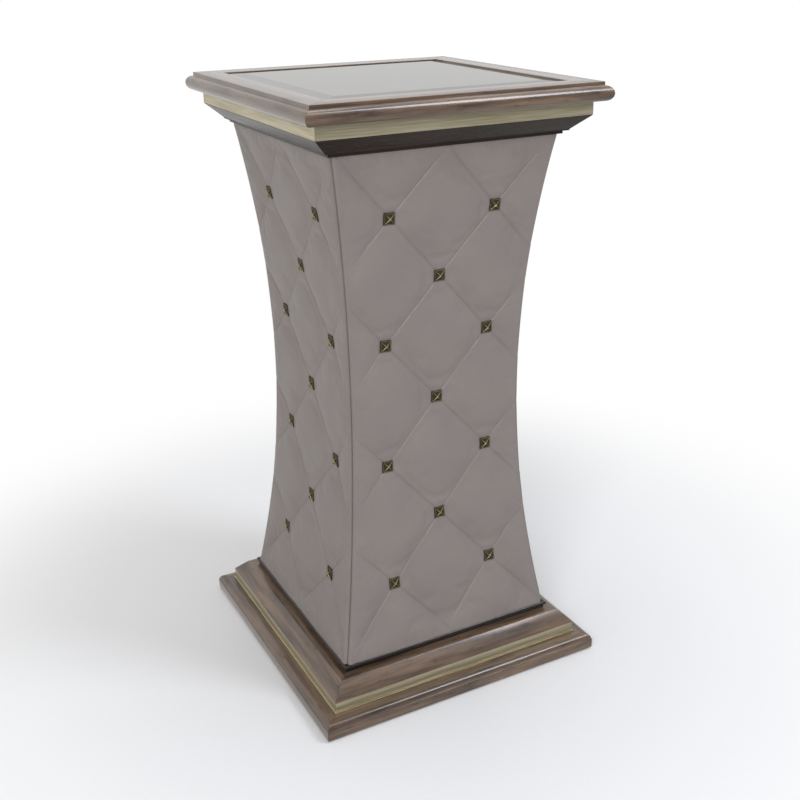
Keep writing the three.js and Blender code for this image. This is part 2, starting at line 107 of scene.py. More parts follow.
def linear(code):
    parts = [int(code[i:i + 2], 16) / 255 for i in (1, 3, 5)]
    return (*(c / 12.92 if c <= 0.04045 else ((c + 0.055) / 1.055) ** 2.4 for c in parts), 1)


def new_material(name):
    material = bpy.data.materials.new(name)
    material.use_nodes = True
    material.node_tree.nodes.clear()
    return material, material.node_tree


print("taupe leather in linear light:", [round(c, 3) for c in linear("#88807D")])

# %% [markdown]
# Plain studio light. A large soft box hangs at the upper left in front, so that both faces that the camera
# sees get about the same light and every seam that rises to the right catches it. A second one at the upper
# right stands where the rounded mouldings mirror it into the lens, which draws the thin cool lines along
# them, and a third hangs overhead for the top. The room itself is pale behind the stand and darker behind
# the camera, as a studio is. That is what lacquer and glass mirror.

# %% Room
WHITE = (1, 1, 1, 1)
TO_THE_BACK = (-0.35, 0.92)
ROOM_LIGHT = 0.38  # what falls on the stand from all round
ROOM_IN_FRONT, ROOM_BEHIND = 0.28, 0.8  # what its gloss mirrors


def ray_kinds(tree):
    """1 where the camera looks, also through glass, and 1 where a gloss mirrors."""
    ray = add(tree, "ShaderNodeLightPath").outputs
    seen = add(tree, "ShaderNodeMath", {0: ray["Is Camera Ray"], 1: ray["Is Transmission Ray"]},
               operation="MAXIMUM")
    return seen.outputs["Value"], ray["Is Glossy Ray"]


def graded(tree, place, towards, start, end, dark, pale):
    """A tone that rises softly from dark to pale along a direction."""
    along = add(tree, "ShaderNodeVectorMath", {0: place, 1: towards}, operation="DOT_PRODUCT")
    return add(tree, "ShaderNodeMapRange", {
        "Value": along.outputs["Value"], "From Min": start, "From Max": end, "To Min": dark, "To Max": pale,
    }, interpolation_type="SMOOTHSTEP").outputs["Result"]


world = bpy.data.worlds.new("studio")
scene.world = world
world.use_nodes = True
tree = world.node_tree
tree.nodes.clear()
direction = add(tree, "ShaderNodeTexCoord").outputs["Generated"]
room = graded(tree, direction, (*TO_THE_BACK, 0.1), -0.75, 0.35, ROOM_IN_FRONT, ROOM_BEHIND)
seen, glossy = ray_kinds(tree)
mirrored = add(tree, "ShaderNodeMix", {0: glossy, 2: ROOM_LIGHT, 3: room})
strength = add(tree, "ShaderNodeMix", {0: seen, 2: mirrored.outputs[0], 3: 1.0})
sky = add(tree, "ShaderNodeBackground", {"Color": WHITE, "Strength": strength.outputs[0]})
add(tree, "ShaderNodeOutputWorld", {"Surface": sky.outputs["Background"]})
scene.view_settings.view_transform = "Standard"
print("room: mirrored at", ROOM_IN_FRONT, "in front and", ROOM_BEHIND, "behind")

# %% [markdown]
# Each lamp is a soft box that looks at the middle of the column. Its place comes first, then its width and
# height in metres, its watts, and a tint where the lamp is a little cool.

# %% Lamps
AIM = Vector((0, 0, 0.45))


def soft_box(name, place, width, height, watts, colour="#FFFFFF"):
    lamp = bpy.data.lights.new(name, "AREA")
    lamp.shape = "RECTANGLE"
    lamp.size = width
    lamp.size_y = height
    lamp.energy = watts
    lamp.color = linear(colour)[:3]
    holder = bpy.data.objects.new(name, lamp)
    scene.collection.objects.link(holder)
    turned = (AIM - Vector(place)).to_track_quat("-Z", "Y")
    holder.matrix_world = Matrix.LocRotScale(Vector(place), turned, None)


soft_box("key", (-2.15, -2.35, 2.4), 1.2, 1.2, 51, "#FCFCFF")
soft_box("glint", (1.75, -1.7, 3.15), 0.9, 1.5, 43, "#EEF4FF")
soft_box("overhead", (0.1, 0.3, 3.4), 1.6, 1.6, 28)

# %% [markdown]
# The floor is a pale matt sheet. Close to the stand it is an ordinary surface that takes the shadow. Further
# out it turns, for the camera, into the same white as the background, so no horizon shows. Lacquer mirrors
# it as the grey floor of a studio, dark in front and brighter behind, which keeps undersides deep in tone.

# %% Floor
FLOOR_HALF = 4.0
SHADOW_NEAR, SHADOW_FAR = 0.42, 1.15
FLOOR_IN_FRONT, FLOOR_BEHIND = 0.55, 0.85
FIBRES_PER_METRE = 260.0

material, tree = new_material("matt_white_paper")
where = add(tree, "ShaderNodeTexCoord").outputs["Object"]
distance = add(tree, "ShaderNodeVectorMath", {0: where}, operation="LENGTH")
outwards = add(tree, "ShaderNodeMapRange", {
    "Value": distance.outputs["Value"], "From Min": SHADOW_NEAR, "From Max": SHADOW_FAR,
}, interpolation_type="SMOOTHERSTEP")
seen, glossy = ray_kinds(tree)
share = add(tree, "ShaderNodeMath", {0: outwards.outputs["Result"], 1: seen}, operation="MULTIPLY")
share = add(tree, "ShaderNodeMath", {0: share.outputs["Value"], 1: glossy}, operation="MAXIMUM")
room_floor = graded(tree, where, (*TO_THE_BACK, 0), -0.2, 1.3, FLOOR_IN_FRONT, FLOOR_BEHIND)
glow = add(tree, "ShaderNodeMix", {0: glossy, 2: 1.0, 3: room_floor})
fibre = add(tree, "ShaderNodeTexNoise", {"Vector": where, "Scale": FIBRES_PER_METRE, "Detail": 3.0})
tone = add(tree, "ShaderNodeMix", {0: fibre.outputs["Fac"], 6: linear("#F4F4F4"), 7: linear("#FAFAFA")},
           data_type="RGBA")
paper = add(tree, "ShaderNodeBsdfPrincipled", {"Base Color": tone.outputs[2], "Roughness": 0.9})
ground = add(tree, "ShaderNodeEmission", {"Color": WHITE, "Strength": glow.outputs[0]})
mixed = add(tree, "ShaderNodeMixShader", {
    0: share.outputs["Value"], 1: paper.outputs[0], 2: ground.outputs[0],
})
add(tree, "ShaderNodeOutputMaterial", {"Surface": mixed.outputs[0]})

sheet = bpy.data.meshes.new("floor")
square = [(-1, -1), (1, -1), (1, 1), (-1, 1)]
sheet.from_pydata([(x * FLOOR_HALF, y * FLOOR_HALF, 0) for x, y in square], [], [(0, 1, 2, 3)])
sheet.materials.append(material)
floor = bpy.data.objects.new("floor", sheet)
scene.collection.objects.link(floor)
print("floor:", 2 * FLOOR_HALF, "m square")

# %% [markdown]
# Walnut mouldings under a satin lacquer. The stain was brushed on and partly wiped off along the length of
# each moulding, which leaves long streaks, short dark smudges and fine pores, all running one way. A wood
# picture wrapped round the object could not follow four sides and their mitres. Here each piece carries its
# own grain coordinates, along, out and up, so the figure runs true to every mitre and changes there.
# Pores in walnut are a third of a millimetre wide. They are drawn three times as wide to show at all.
# The same rule makes three woods. The brown one has a clear coat over a satin one, which gives a soft gloss
# with a sharper one on top. The dark one is only waxed, so the flare under the head stays deep in tone. The
# black one is a thin, even gloss, and the bead reads as a dark line.

# %% Walnut
STREAK_LENGTH, STREAK_WIDTH = 130 * MM, 10 * MM
SMUDGE_LENGTH, SMUDGE_WIDTH = 42 * MM, 13 * MM
PORE_LENGTH, PORE_WIDTH, PORE_DEPTH = 22 * MM, 1.0 * MM, 0.15 * MM
SMOOTHER, ROUGHER = 0.06, 0.08  # how far the gloss wanders with the streaks


def grain_noise(tree, grain, length, width, detail=3.0, roughness=0.55):
    stretched = add(tree, "ShaderNodeVectorMath", {0: grain, 1: (1 / length, 1 / width, 1 / width)},
                    operation="MULTIPLY")
    return add(tree, "ShaderNodeTexNoise", {
        "Vector": stretched.outputs["Vector"], "Scale": 1.0, "Detail": detail, "Roughness": roughness,
    }).outputs["Fac"]


def lacquered_wood(name, dark, middle, light, roughness=0.34, coat=0.9, relief=0.12, ior=1.5,
                   carried=False):
    material, tree = new_material(name)
    if carried:
        grain = add(tree, "ShaderNodeTexCoord").outputs["Object"]
    else:
        grain = add(tree, "ShaderNodeAttribute", attribute_name="grain").outputs["Vector"]
    streaks = grain_noise(tree, grain, STREAK_LENGTH, STREAK_WIDTH)
    smudges = grain_noise(tree, grain, SMUDGE_LENGTH, SMUDGE_WIDTH, 4.0, 0.6)
    pores = grain_noise(tree, grain, PORE_LENGTH, PORE_WIDTH, 2.0, 0.5)
    figure = add(tree, "ShaderNodeMapRange", {"Value": streaks, "From Min": 0.34, "From Max": 0.68})
    wiped = add(tree, "ShaderNodeMapRange", {"Value": smudges, "From Min": 0.56, "From Max": 0.72,
                                             "To Min": 0.0, "To Max": 0.75})
    open_pores = add(tree, "ShaderNodeMapRange", {"Value": pores, "From Min": 0.5, "From Max": 0.72,
                                                  "To Min": 0.0, "To Max": 0.25})
    stain = add(tree, "ShaderNodeMix", {0: figure.outputs["Result"], 6: linear(middle), 7: linear(light)},
                data_type="RGBA")
    stain = add(tree, "ShaderNodeMix", {0: wiped.outputs["Result"], 6: stain.outputs[2], 7: linear(dark)},
                data_type="RGBA")
    stain = add(tree, "ShaderNodeMix", {
        0: open_pores.outputs["Result"], 6: stain.outputs[2], 7: linear(dark),
    }, data_type="RGBA")
    sheen = add(tree, "ShaderNodeMapRange", {
        "Value": streaks, "To Min": roughness - SMOOTHER, "To Max": roughness + ROUGHER,
    })
    bump = add(tree, "ShaderNodeBump", {"Height": pores, "Strength": relief, "Distance": PORE_DEPTH})
    shader = add(tree, "ShaderNodeBsdfPrincipled", {
        "Base Color": stain.outputs[2], "Roughness": sheen.outputs["Result"], "IOR": ior,
        "Normal": bump.outputs["Normal"], "Coat Weight": coat, "Coat Roughness": 0.12,
    })
    add(tree, "ShaderNodeOutputMaterial", {"Surface": shader.outputs[0]})
    return material


walnut = lacquered_wood("walnut_wiped_stain_satin_lacquer", "#241A15", "#4A392D", "#806750")
dark_walnut = lacquered_wood("walnut_dark_stain_waxed", "#18110E", "#231A15", "#33271E",
                             roughness=0.26, coat=0.0, relief=0.0, ior=1.4)
black_walnut = lacquered_wood("walnut_black_stain_gloss_lacquer", "#120D0B", "#1B1411", "#2A201A",
                              roughness=0.16, coat=0.0, relief=0.0)
print("woods:", [wood.name for wood in (walnut, dark_walnut, black_walnut)])

# %% [markdown]
# The two bands are champagne leaf: thin metal leaf laid on a coloured ground and brushed along its length,
# then toned with a thin glaze. The leaf mirrors weakly, the brush leaves fine streaks, and the glaze stays
# a little darker in places. The hairs of a brush leave marks a fifth of a millimetre apart, which no picture
# of a whole stand shows, so they are drawn about ten times as wide.

# %% Champagne leaf
BRUSH_LENGTH, BRUSH_WIDTH, BRUSH_DEPTH = 90 * MM, 2.2 * MM, 0.1 * MM
GLAZE_LENGTH, GLAZE_WIDTH = 120 * MM, 12 * MM

champagne, tree = new_material("champagne_leaf_brushed")
grain = add(tree, "ShaderNodeAttribute", attribute_name="grain").outputs["Vector"]
brush = grain_noise(tree, grain, BRUSH_LENGTH, BRUSH_WIDTH, 2.0)
glaze = grain_noise(tree, grain, GLAZE_LENGTH, GLAZE_WIDTH, 3.0)
bright = add(tree, "ShaderNodeMapRange", {"Value": brush, "From Min": 0.36, "From Max": 0.66})
leaf = add(tree, "ShaderNodeMix", {0: bright.outputs["Result"], 6: linear("#B9AF92"), 7: linear("#D5CCB1")},
           data_type="RGBA")
toned = add(tree, "ShaderNodeMapRange", {"Value": glaze, "From Min": 0.5, "From Max": 0.75, "To Max": 0.35})
leaf = add(tree, "ShaderNodeMix", {0: toned.outputs["Result"], 6: leaf.outputs[2], 7: linear("#968B6C")},
           data_type="RGBA")
relief = add(tree, "ShaderNodeBump", {"Height": brush, "Strength": 0.06, "Distance": BRUSH_DEPTH})
shader = add(tree, "ShaderNodeBsdfPrincipled", {
    "Base Color": leaf.outputs[2], "Metallic": 0.8, "Roughness": 0.4, "Normal": relief.outputs["Normal"],
})
add(tree, "ShaderNodeOutputMaterial", {"Surface": shader.outputs[0]})
print("leaf:", champagne.name)

# %% [markdown]
# Geometry Nodes hold a rule for a shape, with named inputs for its sizes. Three helpers start such a tree,
# end it with a real mesh and its material, and run it once on a mesh. The result is kept as a plain mesh, so
# nothing is left to work out later.


# %% Helpers for Geometry Nodes
def new_tree(name, sockets):
    tree = bpy.data.node_groups.new(name, "GeometryNodeTree")
    tree.interface.new_socket(name="Geometry", in_out="INPUT", socket_type="NodeSocketGeometry")
    for socket, kind in sockets.items():
        tree.interface.new_socket(name=socket, in_out="INPUT", socket_type=f"NodeSocket{kind}")
    tree.interface.new_socket(name="Geometry", in_out="OUTPUT", socket_type="NodeSocketGeometry")
    return tree, add(tree, "NodeGroupInput").outputs


def finish_tree(tree, geometry, material):
    real = add(tree, "GeometryNodeRealizeInstances", {"Geometry": geometry})
    painted = add(tree, "GeometryNodeSetMaterial", {"Geometry": real.outputs[0], "Material": material})
    add(tree, "NodeGroupOutput", {"Geometry": painted.outputs[0]})


def grow(name, mesh, tree, values):
    """Runs a Geometry Nodes tree on a mesh and keeps the result as a plain mesh object."""
    piece = bpy.data.objects.new(name, mesh)
    scene.collection.objects.link(piece)
    rule = piece.modifiers.new("rule", "NODES")
    rule.node_group = tree
    for item in tree.interface.items_tree:
        if item.in_out == "INPUT" and item.name in values:
            rule[item.identifier] = values[item.name]
    grown = bpy.data.meshes.new_from_object(piece.evaluated_get(bpy.context.evaluated_depsgraph_get()))
    piece.modifiers.remove(rule)
    piece.data = grown
    grown.name = name
    return piece


print("helpers:", [rule.__name__ for rule in (new_tree, finish_tree, grow)])

# %% [markdown]
# Every moulding here is one profile, cut to length four times and mitred at the corners. Geometry Nodes
# say that rule once: the profile is a face that is drawn out to a bar, from minus one to one, and then each
# point runs out to its own place on the two mitres. The bar keeps its grain coordinates, and a quarter turn
# puts it on its side of the stand. A modelling tool that bevels a square frame would give the same shape but
# no separate pieces.

# %% The rule for a mitred moulding
BAR_START, BAR_LENGTH = -1.0, 2.0

mitred, given = new_tree("mitred_moulding", {
    "Mitre gap": "Float", "Quarter turn": "Float", "Grain start": "Float", "Material": "Material",
})
bar = add(mitred, "GeometryNodeExtrudeMesh", {
    "Mesh": given["Geometry"], "Offset Scale": BAR_LENGTH, "Individual": False,
}, mode="FACES")
near_end = add(mitred, "GeometryNodeFlipFaces", {"Mesh": given["Geometry"]})
closed = add(mitred, "GeometryNodeJoinGeometry")
for part in (bar.outputs["Mesh"], near_end.outputs["Mesh"]):
    mitred.links.new(part, closed.inputs[0])
closed = add(mitred, "GeometryNodeMergeByDistance", {"Geometry": closed.outputs[0], "Distance": 0.001 * MM})
place = add(mitred, "ShaderNodeSeparateXYZ", {0: add(mitred, "GeometryNodeInputPosition").outputs[0]})
reach = add(mitred, "ShaderNodeMath", {0: place.outputs["Y"], 1: given["Mitre gap"]}, operation="ADD")
along = add(mitred, "ShaderNodeMath", {0: place.outputs["X"], 1: reach.outputs[0]}, operation="MULTIPLY")
along = add(mitred, "ShaderNodeMath", {0: along.outputs[0], 1: -1.0}, operation="MULTIPLY")
moved = add(mitred, "ShaderNodeCombineXYZ", {
    "X": along.outputs[0], "Y": place.outputs["Y"], "Z": place.outputs["Z"],
})
sheared = add(mitred, "GeometryNodeSetPosition", {
    "Geometry": closed.outputs[0], "Position": moved.outputs[0],
})
where = add(mitred, "ShaderNodeSeparateXYZ", {0: add(mitred, "GeometryNodeInputPosition").outputs[0]})
started = add(mitred, "ShaderNodeMath", {0: where.outputs["X"], 1: given["Grain start"]}, operation="ADD")
grain = add(mitred, "ShaderNodeCombineXYZ", {
    "X": started.outputs[0], "Y": where.outputs["Y"], "Z": where.outputs["Z"],
})
marked = add(mitred, "GeometryNodeStoreNamedAttribute", {
    "Geometry": sheared.outputs[0], "Name": "grain", "Value": grain.outputs[0],
}, data_type="FLOAT_VECTOR", domain="POINT")
turn = add(mitred, "ShaderNodeCombineXYZ", {"Z": given["Quarter turn"]})
turned = add(mitred, "GeometryNodeTransform", {"Geometry": marked.outputs[0], "Rotation": turn.outputs[0]})
finish_tree(mitred, turned.outputs[0], given["Material"])
print("rule:", mitred.name, "with", len(mitred.nodes), "nodes")

# %% [markdown]
# A profile is drawn as the joiner's cutter would leave it, in millimetres out from the middle and up from
# the floor, and sanding takes the edge off every corner. The edge rounds are small, but they are what
# catches the light as the thin bright lines along a lacquered moulding.

# %% Profiles and the four sides
SIDES = ("front", "right", "back", "left")
QUARTER = math.pi / 2
GLUE_GAP = 0.3
MITRE_BACK = GLUE_GAP / math.sqrt(2)
STRAIGHT, SHARP_WOOD = math.radians(20), math.radians(38)
MOST_OF_A_SIDE = 0.45
GRAIN_PER_SIDE, GRAIN_PER_LETTER = 1.7, 0.13


def arc(across, height, radius_across, radius_up, start, end, steps):
    angles = [math.radians(a) for a in np.linspace(start, end, steps + 1)]
    return [(across + radius_across * math.cos(a), height + radius_up * math.sin(a)) for a in angles]


def sanded(profile, radius, steps=3):
    """Rounds each real corner of a closed profile, and leaves the points that lie along a curve."""
    points = [Vector(p) for p in profile]
    softened = []
    for i, point in enumerate(points):
        back, ahead = points[i - 1] - point, points[(i + 1) % len(points)] - point
        bend = math.pi - back.angle(ahead)
        if bend < STRAIGHT:
            softened.append(point)
            continue
        cut = min(radius * math.tan(bend / 2), MOST_OF_A_SIDE * back.length, MOST_OF_A_SIDE * ahead.length)
        a, b = point + back.normalized() * cut, point + ahead.normalized() * cut
        for t in np.linspace(0, 1, steps + 1):
            softened.append(a * (1 - t) ** 2 + point * 2 * t * (1 - t) + b * t ** 2)
    return softened


def moulding(stem, profile, material, replaced):
    """Four mitred bars of one profile, each with its grain from another part of the log."""
    for turn, side in enumerate(SIDES):
        face = bpy.data.meshes.new(stem)
        corners = [(BAR_START, -away * MM, height * MM) for away, height in profile]
        face.from_pydata(corners, [], [range(len(corners))])
        if face.polygons[0].normal.x < 0:
            face.flip_normals()
        piece = grow(f"{stem}_{side}", face, mitred, {
            "Mitre gap": MITRE_BACK * MM, "Quarter turn": turn * QUARTER,
            "Grain start": GRAIN_PER_SIDE * turn + GRAIN_PER_LETTER * len(stem), "Material": material,
        })
        piece.data.shade_smooth()
        piece.data.set_sharp_from_angle(angle=SHARP_WOOD)
        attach(piece, "root")
        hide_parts(f"{replaced}_{side}")
    low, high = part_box(f"{replaced}_front")
    box = [round(v / MM, 1) for v in (-low.y, low.z, high.z)]
    outs, heights = zip(*profile)
    drawn = [round(v, 1) for v in (max(outs), min(heights), max(heights))]
    print(stem, "drawn out, low, high:", drawn, "and in the frame:", box)


# %% [markdown]
# The base, from the floor up: a plinth with an upright face, a small step and a quarter round; a band of
# leaf that swells a little over a square lip; a board that slopes in; and a dark bead on which the leather
# stands. Inner edges lie against the carcass and are never seen.

# %% Base mouldings
COLUMN_END, COLUMN_WAIST = 361 / 2, 291 / 2
PLINTH_OUT, PLINTH_IN, PLINTH_LOW, PLINTH_ARRIS, PLINTH_HIGH = 237.1, 179.1, 3.0, 18.3, 26.5
PLINTH_STEP, PLINTH_ROUND = 1.2, 8.2
moulding("walnut_plinth", sanded([
    (PLINTH_IN, PLINTH_LOW), (PLINTH_OUT, PLINTH_LOW), (PLINTH_OUT, PLINTH_ARRIS),
    *arc(PLINTH_OUT - PLINTH_STEP - PLINTH_ROUND, PLINTH_ARRIS, PLINTH_ROUND, PLINTH_ROUND, 0, 90, 14),
    (PLINTH_IN, PLINTH_HIGH),
], radius=0.6), walnut, "plinth_rail")

BAND_OUT, BAND_IN, BAND_LOW, BAND_HIGH = 213.6, 201.6, 26.8, 43.7
BAND_LIP, BAND_LIP_OUT, BAND_SWELL = 1.8, 1.4, 1.4
swell_middle = (BAND_LOW + BAND_LIP + BAND_HIGH) / 2
moulding("leaf_base_band", sanded([
    (BAND_IN, BAND_LOW), (BAND_OUT + BAND_LIP_OUT, BAND_LOW), (BAND_OUT + BAND_LIP_OUT, BAND_LOW + BAND_LIP),
    *arc(BAND_OUT - BAND_SWELL, swell_middle, BAND_SWELL, BAND_HIGH - swell_middle, -90, 90, 20),
    (BAND_IN, BAND_HIGH),
], radius=0.35), champagne, "base_band")

SLOPE_LOW, SLOPE_HIGH, SLOPE_FOOT, SLOPE_HEAD, SLOPE_IN = 44.0, 64.4, 214.5, 194.5, 166.0
SLOPE_ROUND = 1.6
moulding("walnut_base_slope", sanded([
    (SLOPE_IN, SLOPE_LOW), (SLOPE_FOOT, SLOPE_LOW),
    *arc(SLOPE_HEAD - SLOPE_ROUND / 2, SLOPE_HIGH - SLOPE_ROUND, SLOPE_ROUND, SLOPE_ROUND, 45, 90, 6),
    (SLOPE_IN, SLOPE_HIGH),
], radius=0.7), walnut, "base_slope")

BEAD_LOW, BEAD_HIGH, BEAD_OUT, BEAD_RADIUS, BEAD_IN = 64.7, 75.1, 182.1, 3.1, 165.5
moulding("dark_bead", sanded([
    (BEAD_IN, BEAD_LOW), (BEAD_OUT - BEAD_RADIUS, BEAD_LOW),
    *arc(BEAD_OUT - BEAD_RADIUS, BEAD_HIGH - BEAD_RADIUS, BEAD_RADIUS, BEAD_RADIUS, -90, 90, 16),
    (BEAD_IN, BEAD_HIGH),
], radius=0.4), black_walnut, "base_bead")

# %% [markdown]
# The head mirrors the base: a thin dark fillet round the neck, a slope that flares out, a flat band of
# leaf, and the top's frame. The frame's edge is a full bullnose under a small square fillet, and its flat
# face holds the glass.

# %% Head mouldings
NECK_OUT, NECK_IN, NECK_LOW, NECK_HIGH = 182.0, 165.5, 840.3, 845.0
moulding("dark_neck_fillet", sanded([
    (NECK_IN, NECK_LOW), (NECK_OUT, NECK_LOW), (NECK_OUT, NECK_HIGH), (NECK_IN, NECK_HIGH),
], radius=0.8), dark_walnut, "neck_fillet")

FLARE_LOW, FLARE_HIGH, FLARE_FOOT, FLARE_HEAD, FLARE_IN, FLARE_LIP = 845.3, 867.8, 188.7, 211.4, 166.0, 1.6
moulding("dark_flare", sanded([
    (FLARE_IN, FLARE_LOW), (FLARE_FOOT, FLARE_LOW), (FLARE_FOOT, FLARE_LOW + FLARE_LIP),
    (FLARE_HEAD, FLARE_HIGH), (FLARE_IN, FLARE_HIGH),
], radius=0.4), dark_walnut, "cornice_slope")

HEAD_BAND_OUT, HEAD_BAND_IN, HEAD_BAND_LOW, HEAD_BAND_HIGH = 211.4, 199.4, 868.1, 886.9
moulding("leaf_head_band", sanded([
    (HEAD_BAND_IN, HEAD_BAND_LOW), (HEAD_BAND_OUT, HEAD_BAND_LOW),
    (HEAD_BAND_OUT, HEAD_BAND_HIGH), (HEAD_BAND_IN, HEAD_BAND_HIGH),
], radius=0.5), champagne, "cornice_band")

TOP_OUT, TOP_IN, TOP_LOW, TOP_HIGH = 221.8, 185.1, 887.2, 914.0
NOSE_OUT, NOSE_HEIGHT = 10.1, 21.4
moulding("walnut_top_frame", sanded([
    (TOP_IN, TOP_LOW),
    *arc(TOP_OUT, TOP_LOW + NOSE_HEIGHT / 2, NOSE_OUT, NOSE_HEIGHT / 2, -90, 90, 26),
    (TOP_OUT, TOP_HIGH), (TOP_IN, TOP_HIGH),
], radius=0.7), walnut, "top_rail")

# %% [markdown]
# Upholstery leather over thin foam, in one panel for each side of the column. A pigment coat hides most of
# the hide and leaves a fine pebbled grain, soft clouding, and a satin surface that brightens a little at
# grazing angles. The pebbles are half a millimetre to one across, and are drawn at 1.3 to show. The seams
# that fall to the right get a little painted shade, a darker colour along their creases where shadow lies.

# %% Leather
PEBBLE, CLOUD, CREASE = 1.3 * MM, 70 * MM, 9 * MM
PEBBLE_DEPTH, CREASE_RELIEF = 0.12 * MM, 0.5 * MM

leather, tree = new_material("taupe_leather_pigmented_pebbled")
where = add(tree, "ShaderNodeTexCoord").outputs["Object"]
pebbles = add(tree, "ShaderNodeTexVoronoi", {"Vector": where, "Scale": 1 / PEBBLE, "Randomness": 1.0},
              feature="SMOOTH_F1")
clouds = add(tree, "ShaderNodeTexNoise", {"Vector": where, "Scale": 1 / CLOUD, "Detail": 3.0})
creases = add(tree, "ShaderNodeTexNoise", {
    "Vector": where, "Scale": 1 / CREASE, "Detail": 5.0, "Roughness": 0.6,
})
tone = add(tree, "ShaderNodeMapRange", {"Value": clouds.outputs["Fac"], "From Min": 0.35, "From Max": 0.65})
hide = add(tree, "ShaderNodeMix", {0: tone.outputs["Result"], 6: linear("#897F7B"), 7: linear("#8C847F")},
           data_type="RGBA")
seam = add(tree, "ShaderNodeAttribute", attribute_name="seam").outputs["Fac"]
# Painted shade: the colour is pulled towards #574E4B along the creases of the falling seams, in place of the
# shadow that lies in them.
painted_seam_shade = add(tree, "ShaderNodeMapRange", {"Value": seam, "To Max": 0.12})
hide = add(tree, "ShaderNodeMix", {0: painted_seam_shade.outputs["Result"], 6: hide.outputs[2], 7: linear("#574E4B")},
           data_type="RGBA")
satin = add(tree, "ShaderNodeMapRange", {"Value": creases.outputs["Fac"], "To Min": 0.42, "To Max": 0.56})
fine = add(tree, "ShaderNodeBump", {
    "Height": pebbles.outputs["Distance"], "Strength": 0.22, "Distance": PEBBLE_DEPTH,
})
soft = add(tree, "ShaderNodeBump", {
    "Height": creases.outputs["Fac"], "Strength": 0.3, "Distance": CREASE_RELIEF,
    "Normal": fine.outputs["Normal"],
})
shader = add(tree, "ShaderNodeBsdfPrincipled", {
    "Base Color": hide.outputs[2], "Roughness": satin.outputs["Result"], "IOR": 1.48,
    "Normal": soft.outputs["Normal"], "Sheen Weight": 0.08, "Sheen Roughness": 0.4,
})
add(tree, "ShaderNodeOutputMaterial", {"Surface": shader.outputs[0]})
print("leather:", leather.name)

# %% [markdown]
# The quilting is a rule. Seams run both ways across each panel and cross on a lattice, each pad swells
# between four of them, and the panel's own face is a hollow arc, narrowest at mid height. Written as
# functions of the place on the panel, the rule can be asked for any point, on a coarse grid for the cloth
# and on a fine one for the finished surface.

# %% The quilting rule
COVER_LOW, COVER_HIGH = 75.4, 840.0
HALF_PITCH, FOOT_MARGIN, ROWS = 84.4, 8.6, 8
HALF_RISE = (COVER_HIGH - COVER_LOW - FOOT_MARGIN) / ROWS
SEAM_PERIOD = 2 / math.hypot(1 / HALF_PITCH, 1 / HALF_RISE)
WAIST_HEIGHT = (COVER_LOW + COVER_HIGH) / 2
HALF_SPAN = (COVER_HIGH - COVER_LOW) / 2
FACE_RADIUS = (HALF_SPAN ** 2 + (COLUMN_END - COLUMN_WAIST) ** 2) / (2 * (COLUMN_END - COLUMN_WAIST))
QUILT_DEPTH, QUILT_FULLNESS = 5.0, 3.0
EDGE_ROLL, EDGE_OPENING, EDGE_FADE, EDGE_SHARE = 4.5, 5.8, 40.0, 0.15
FOOT_FADE, HEAD_FADE = 38.0, 22.0
COVER_THICKNESS = 15.0
STUD_DIMPLE, STUD_REACH, DIMPLE_CURVE = 1.5, 22.0, 1.5


def column_half(z):
    return COLUMN_WAIST + FACE_RADIUS - np.sqrt(FACE_RADIUS ** 2 - (z - WAIST_HEIGHT) ** 2)


def face_end(z):
    return column_half(z) - EDGE_OPENING - EDGE_ROLL


def lattice(x, z):
    across, down = x / HALF_PITCH, (COVER_HIGH - z) / HALF_RISE
    return (across + down) / 2, (across - down) / 2


def padding(x, z):
    """0 on a seam and 1 in the middle of a pad."""
    swell = 1.0
    for way in lattice(x, z):
        swell = swell * (1 - np.abs(1 - 2 * (way - np.floor(way))) ** QUILT_FULLNESS)
    return swell


def from_seam(x, z):
    """Distance in millimetres to the nearest seam."""
    return np.minimum(*(np.abs(way - np.round(way)) * SEAM_PERIOD for way in lattice(x, z)))


def hold(x, z):
    """The share of the quilting's depth that is left near a wrapped edge."""
    left = 1.0
    edges = (
        (face_end(z) - np.abs(x), EDGE_FADE),
        (z - COVER_LOW, FOOT_FADE),
        (COVER_HIGH - z, HEAD_FADE),
    )
    for inside, fade in edges:
        t = np.clip(inside / fade, 0, 1)
        left = left * t * t * (3 - 2 * t)
    return EDGE_SHARE + (1 - EDGE_SHARE) * left


studs = []
for row in range(1, ROWS):
    for x in ((-HALF_PITCH, HALF_PITCH) if row % 2 else (0.0,)):
        studs.append((x, COVER_HIGH - row * HALF_RISE))


def dimple(x, z):
    """How far the studs press the leather in round them."""
    pressed = np.zeros_like(x + z)
    for stud_x, stud_z in studs:
        reach = np.hypot(x - stud_x, z - stud_z) / STUD_REACH
        pressed = np.maximum(pressed, np.clip(1 - reach, 0, 1) ** DIMPLE_CURVE)
    return STUD_DIMPLE * pressed


print("quilting: half diamonds", HALF_PITCH, "x", round(HALF_RISE, 1), "mm,", len(studs), "studs a side")

# %% [markdown]
# Foam pushes leather outwards between its seams, and the leather settles into the shape that its own
# stiffness allows. A cloth simulation does just that: the panel is held along the seams, the studs and the
# edges, blown out from behind, and left to settle for twenty frames. It starts a little slack of its final
# shape. What it adds is kept as a field of movements, capped at a few millimetres, and the fine surface
# below takes them over. A sculpted guess would look even where real leather pulls.

# %% Let the leather settle
CELLS = 20
SETTLE_FRAMES = 20
SLACK = 0.75
CAP = 4.0
SEAM_HELD, STUD_HELD = 0.6, 0.9


def start_face(x, z, share):
    return column_half(z) - QUILT_DEPTH * hold(x, z) * (1 - share * padding(x, z)) - dimple(x, z)


settle_columns = int(math.ceil(COLUMN_END / (HALF_PITCH / CELLS)))
settle_x = np.arange(-settle_columns, settle_columns + 1) * HALF_PITCH / CELLS
settle_z = COVER_HIGH - np.arange(0, ROWS * CELLS + 3) * HALF_RISE / CELLS
moved = np.zeros((len(settle_z), len(settle_x), 3))

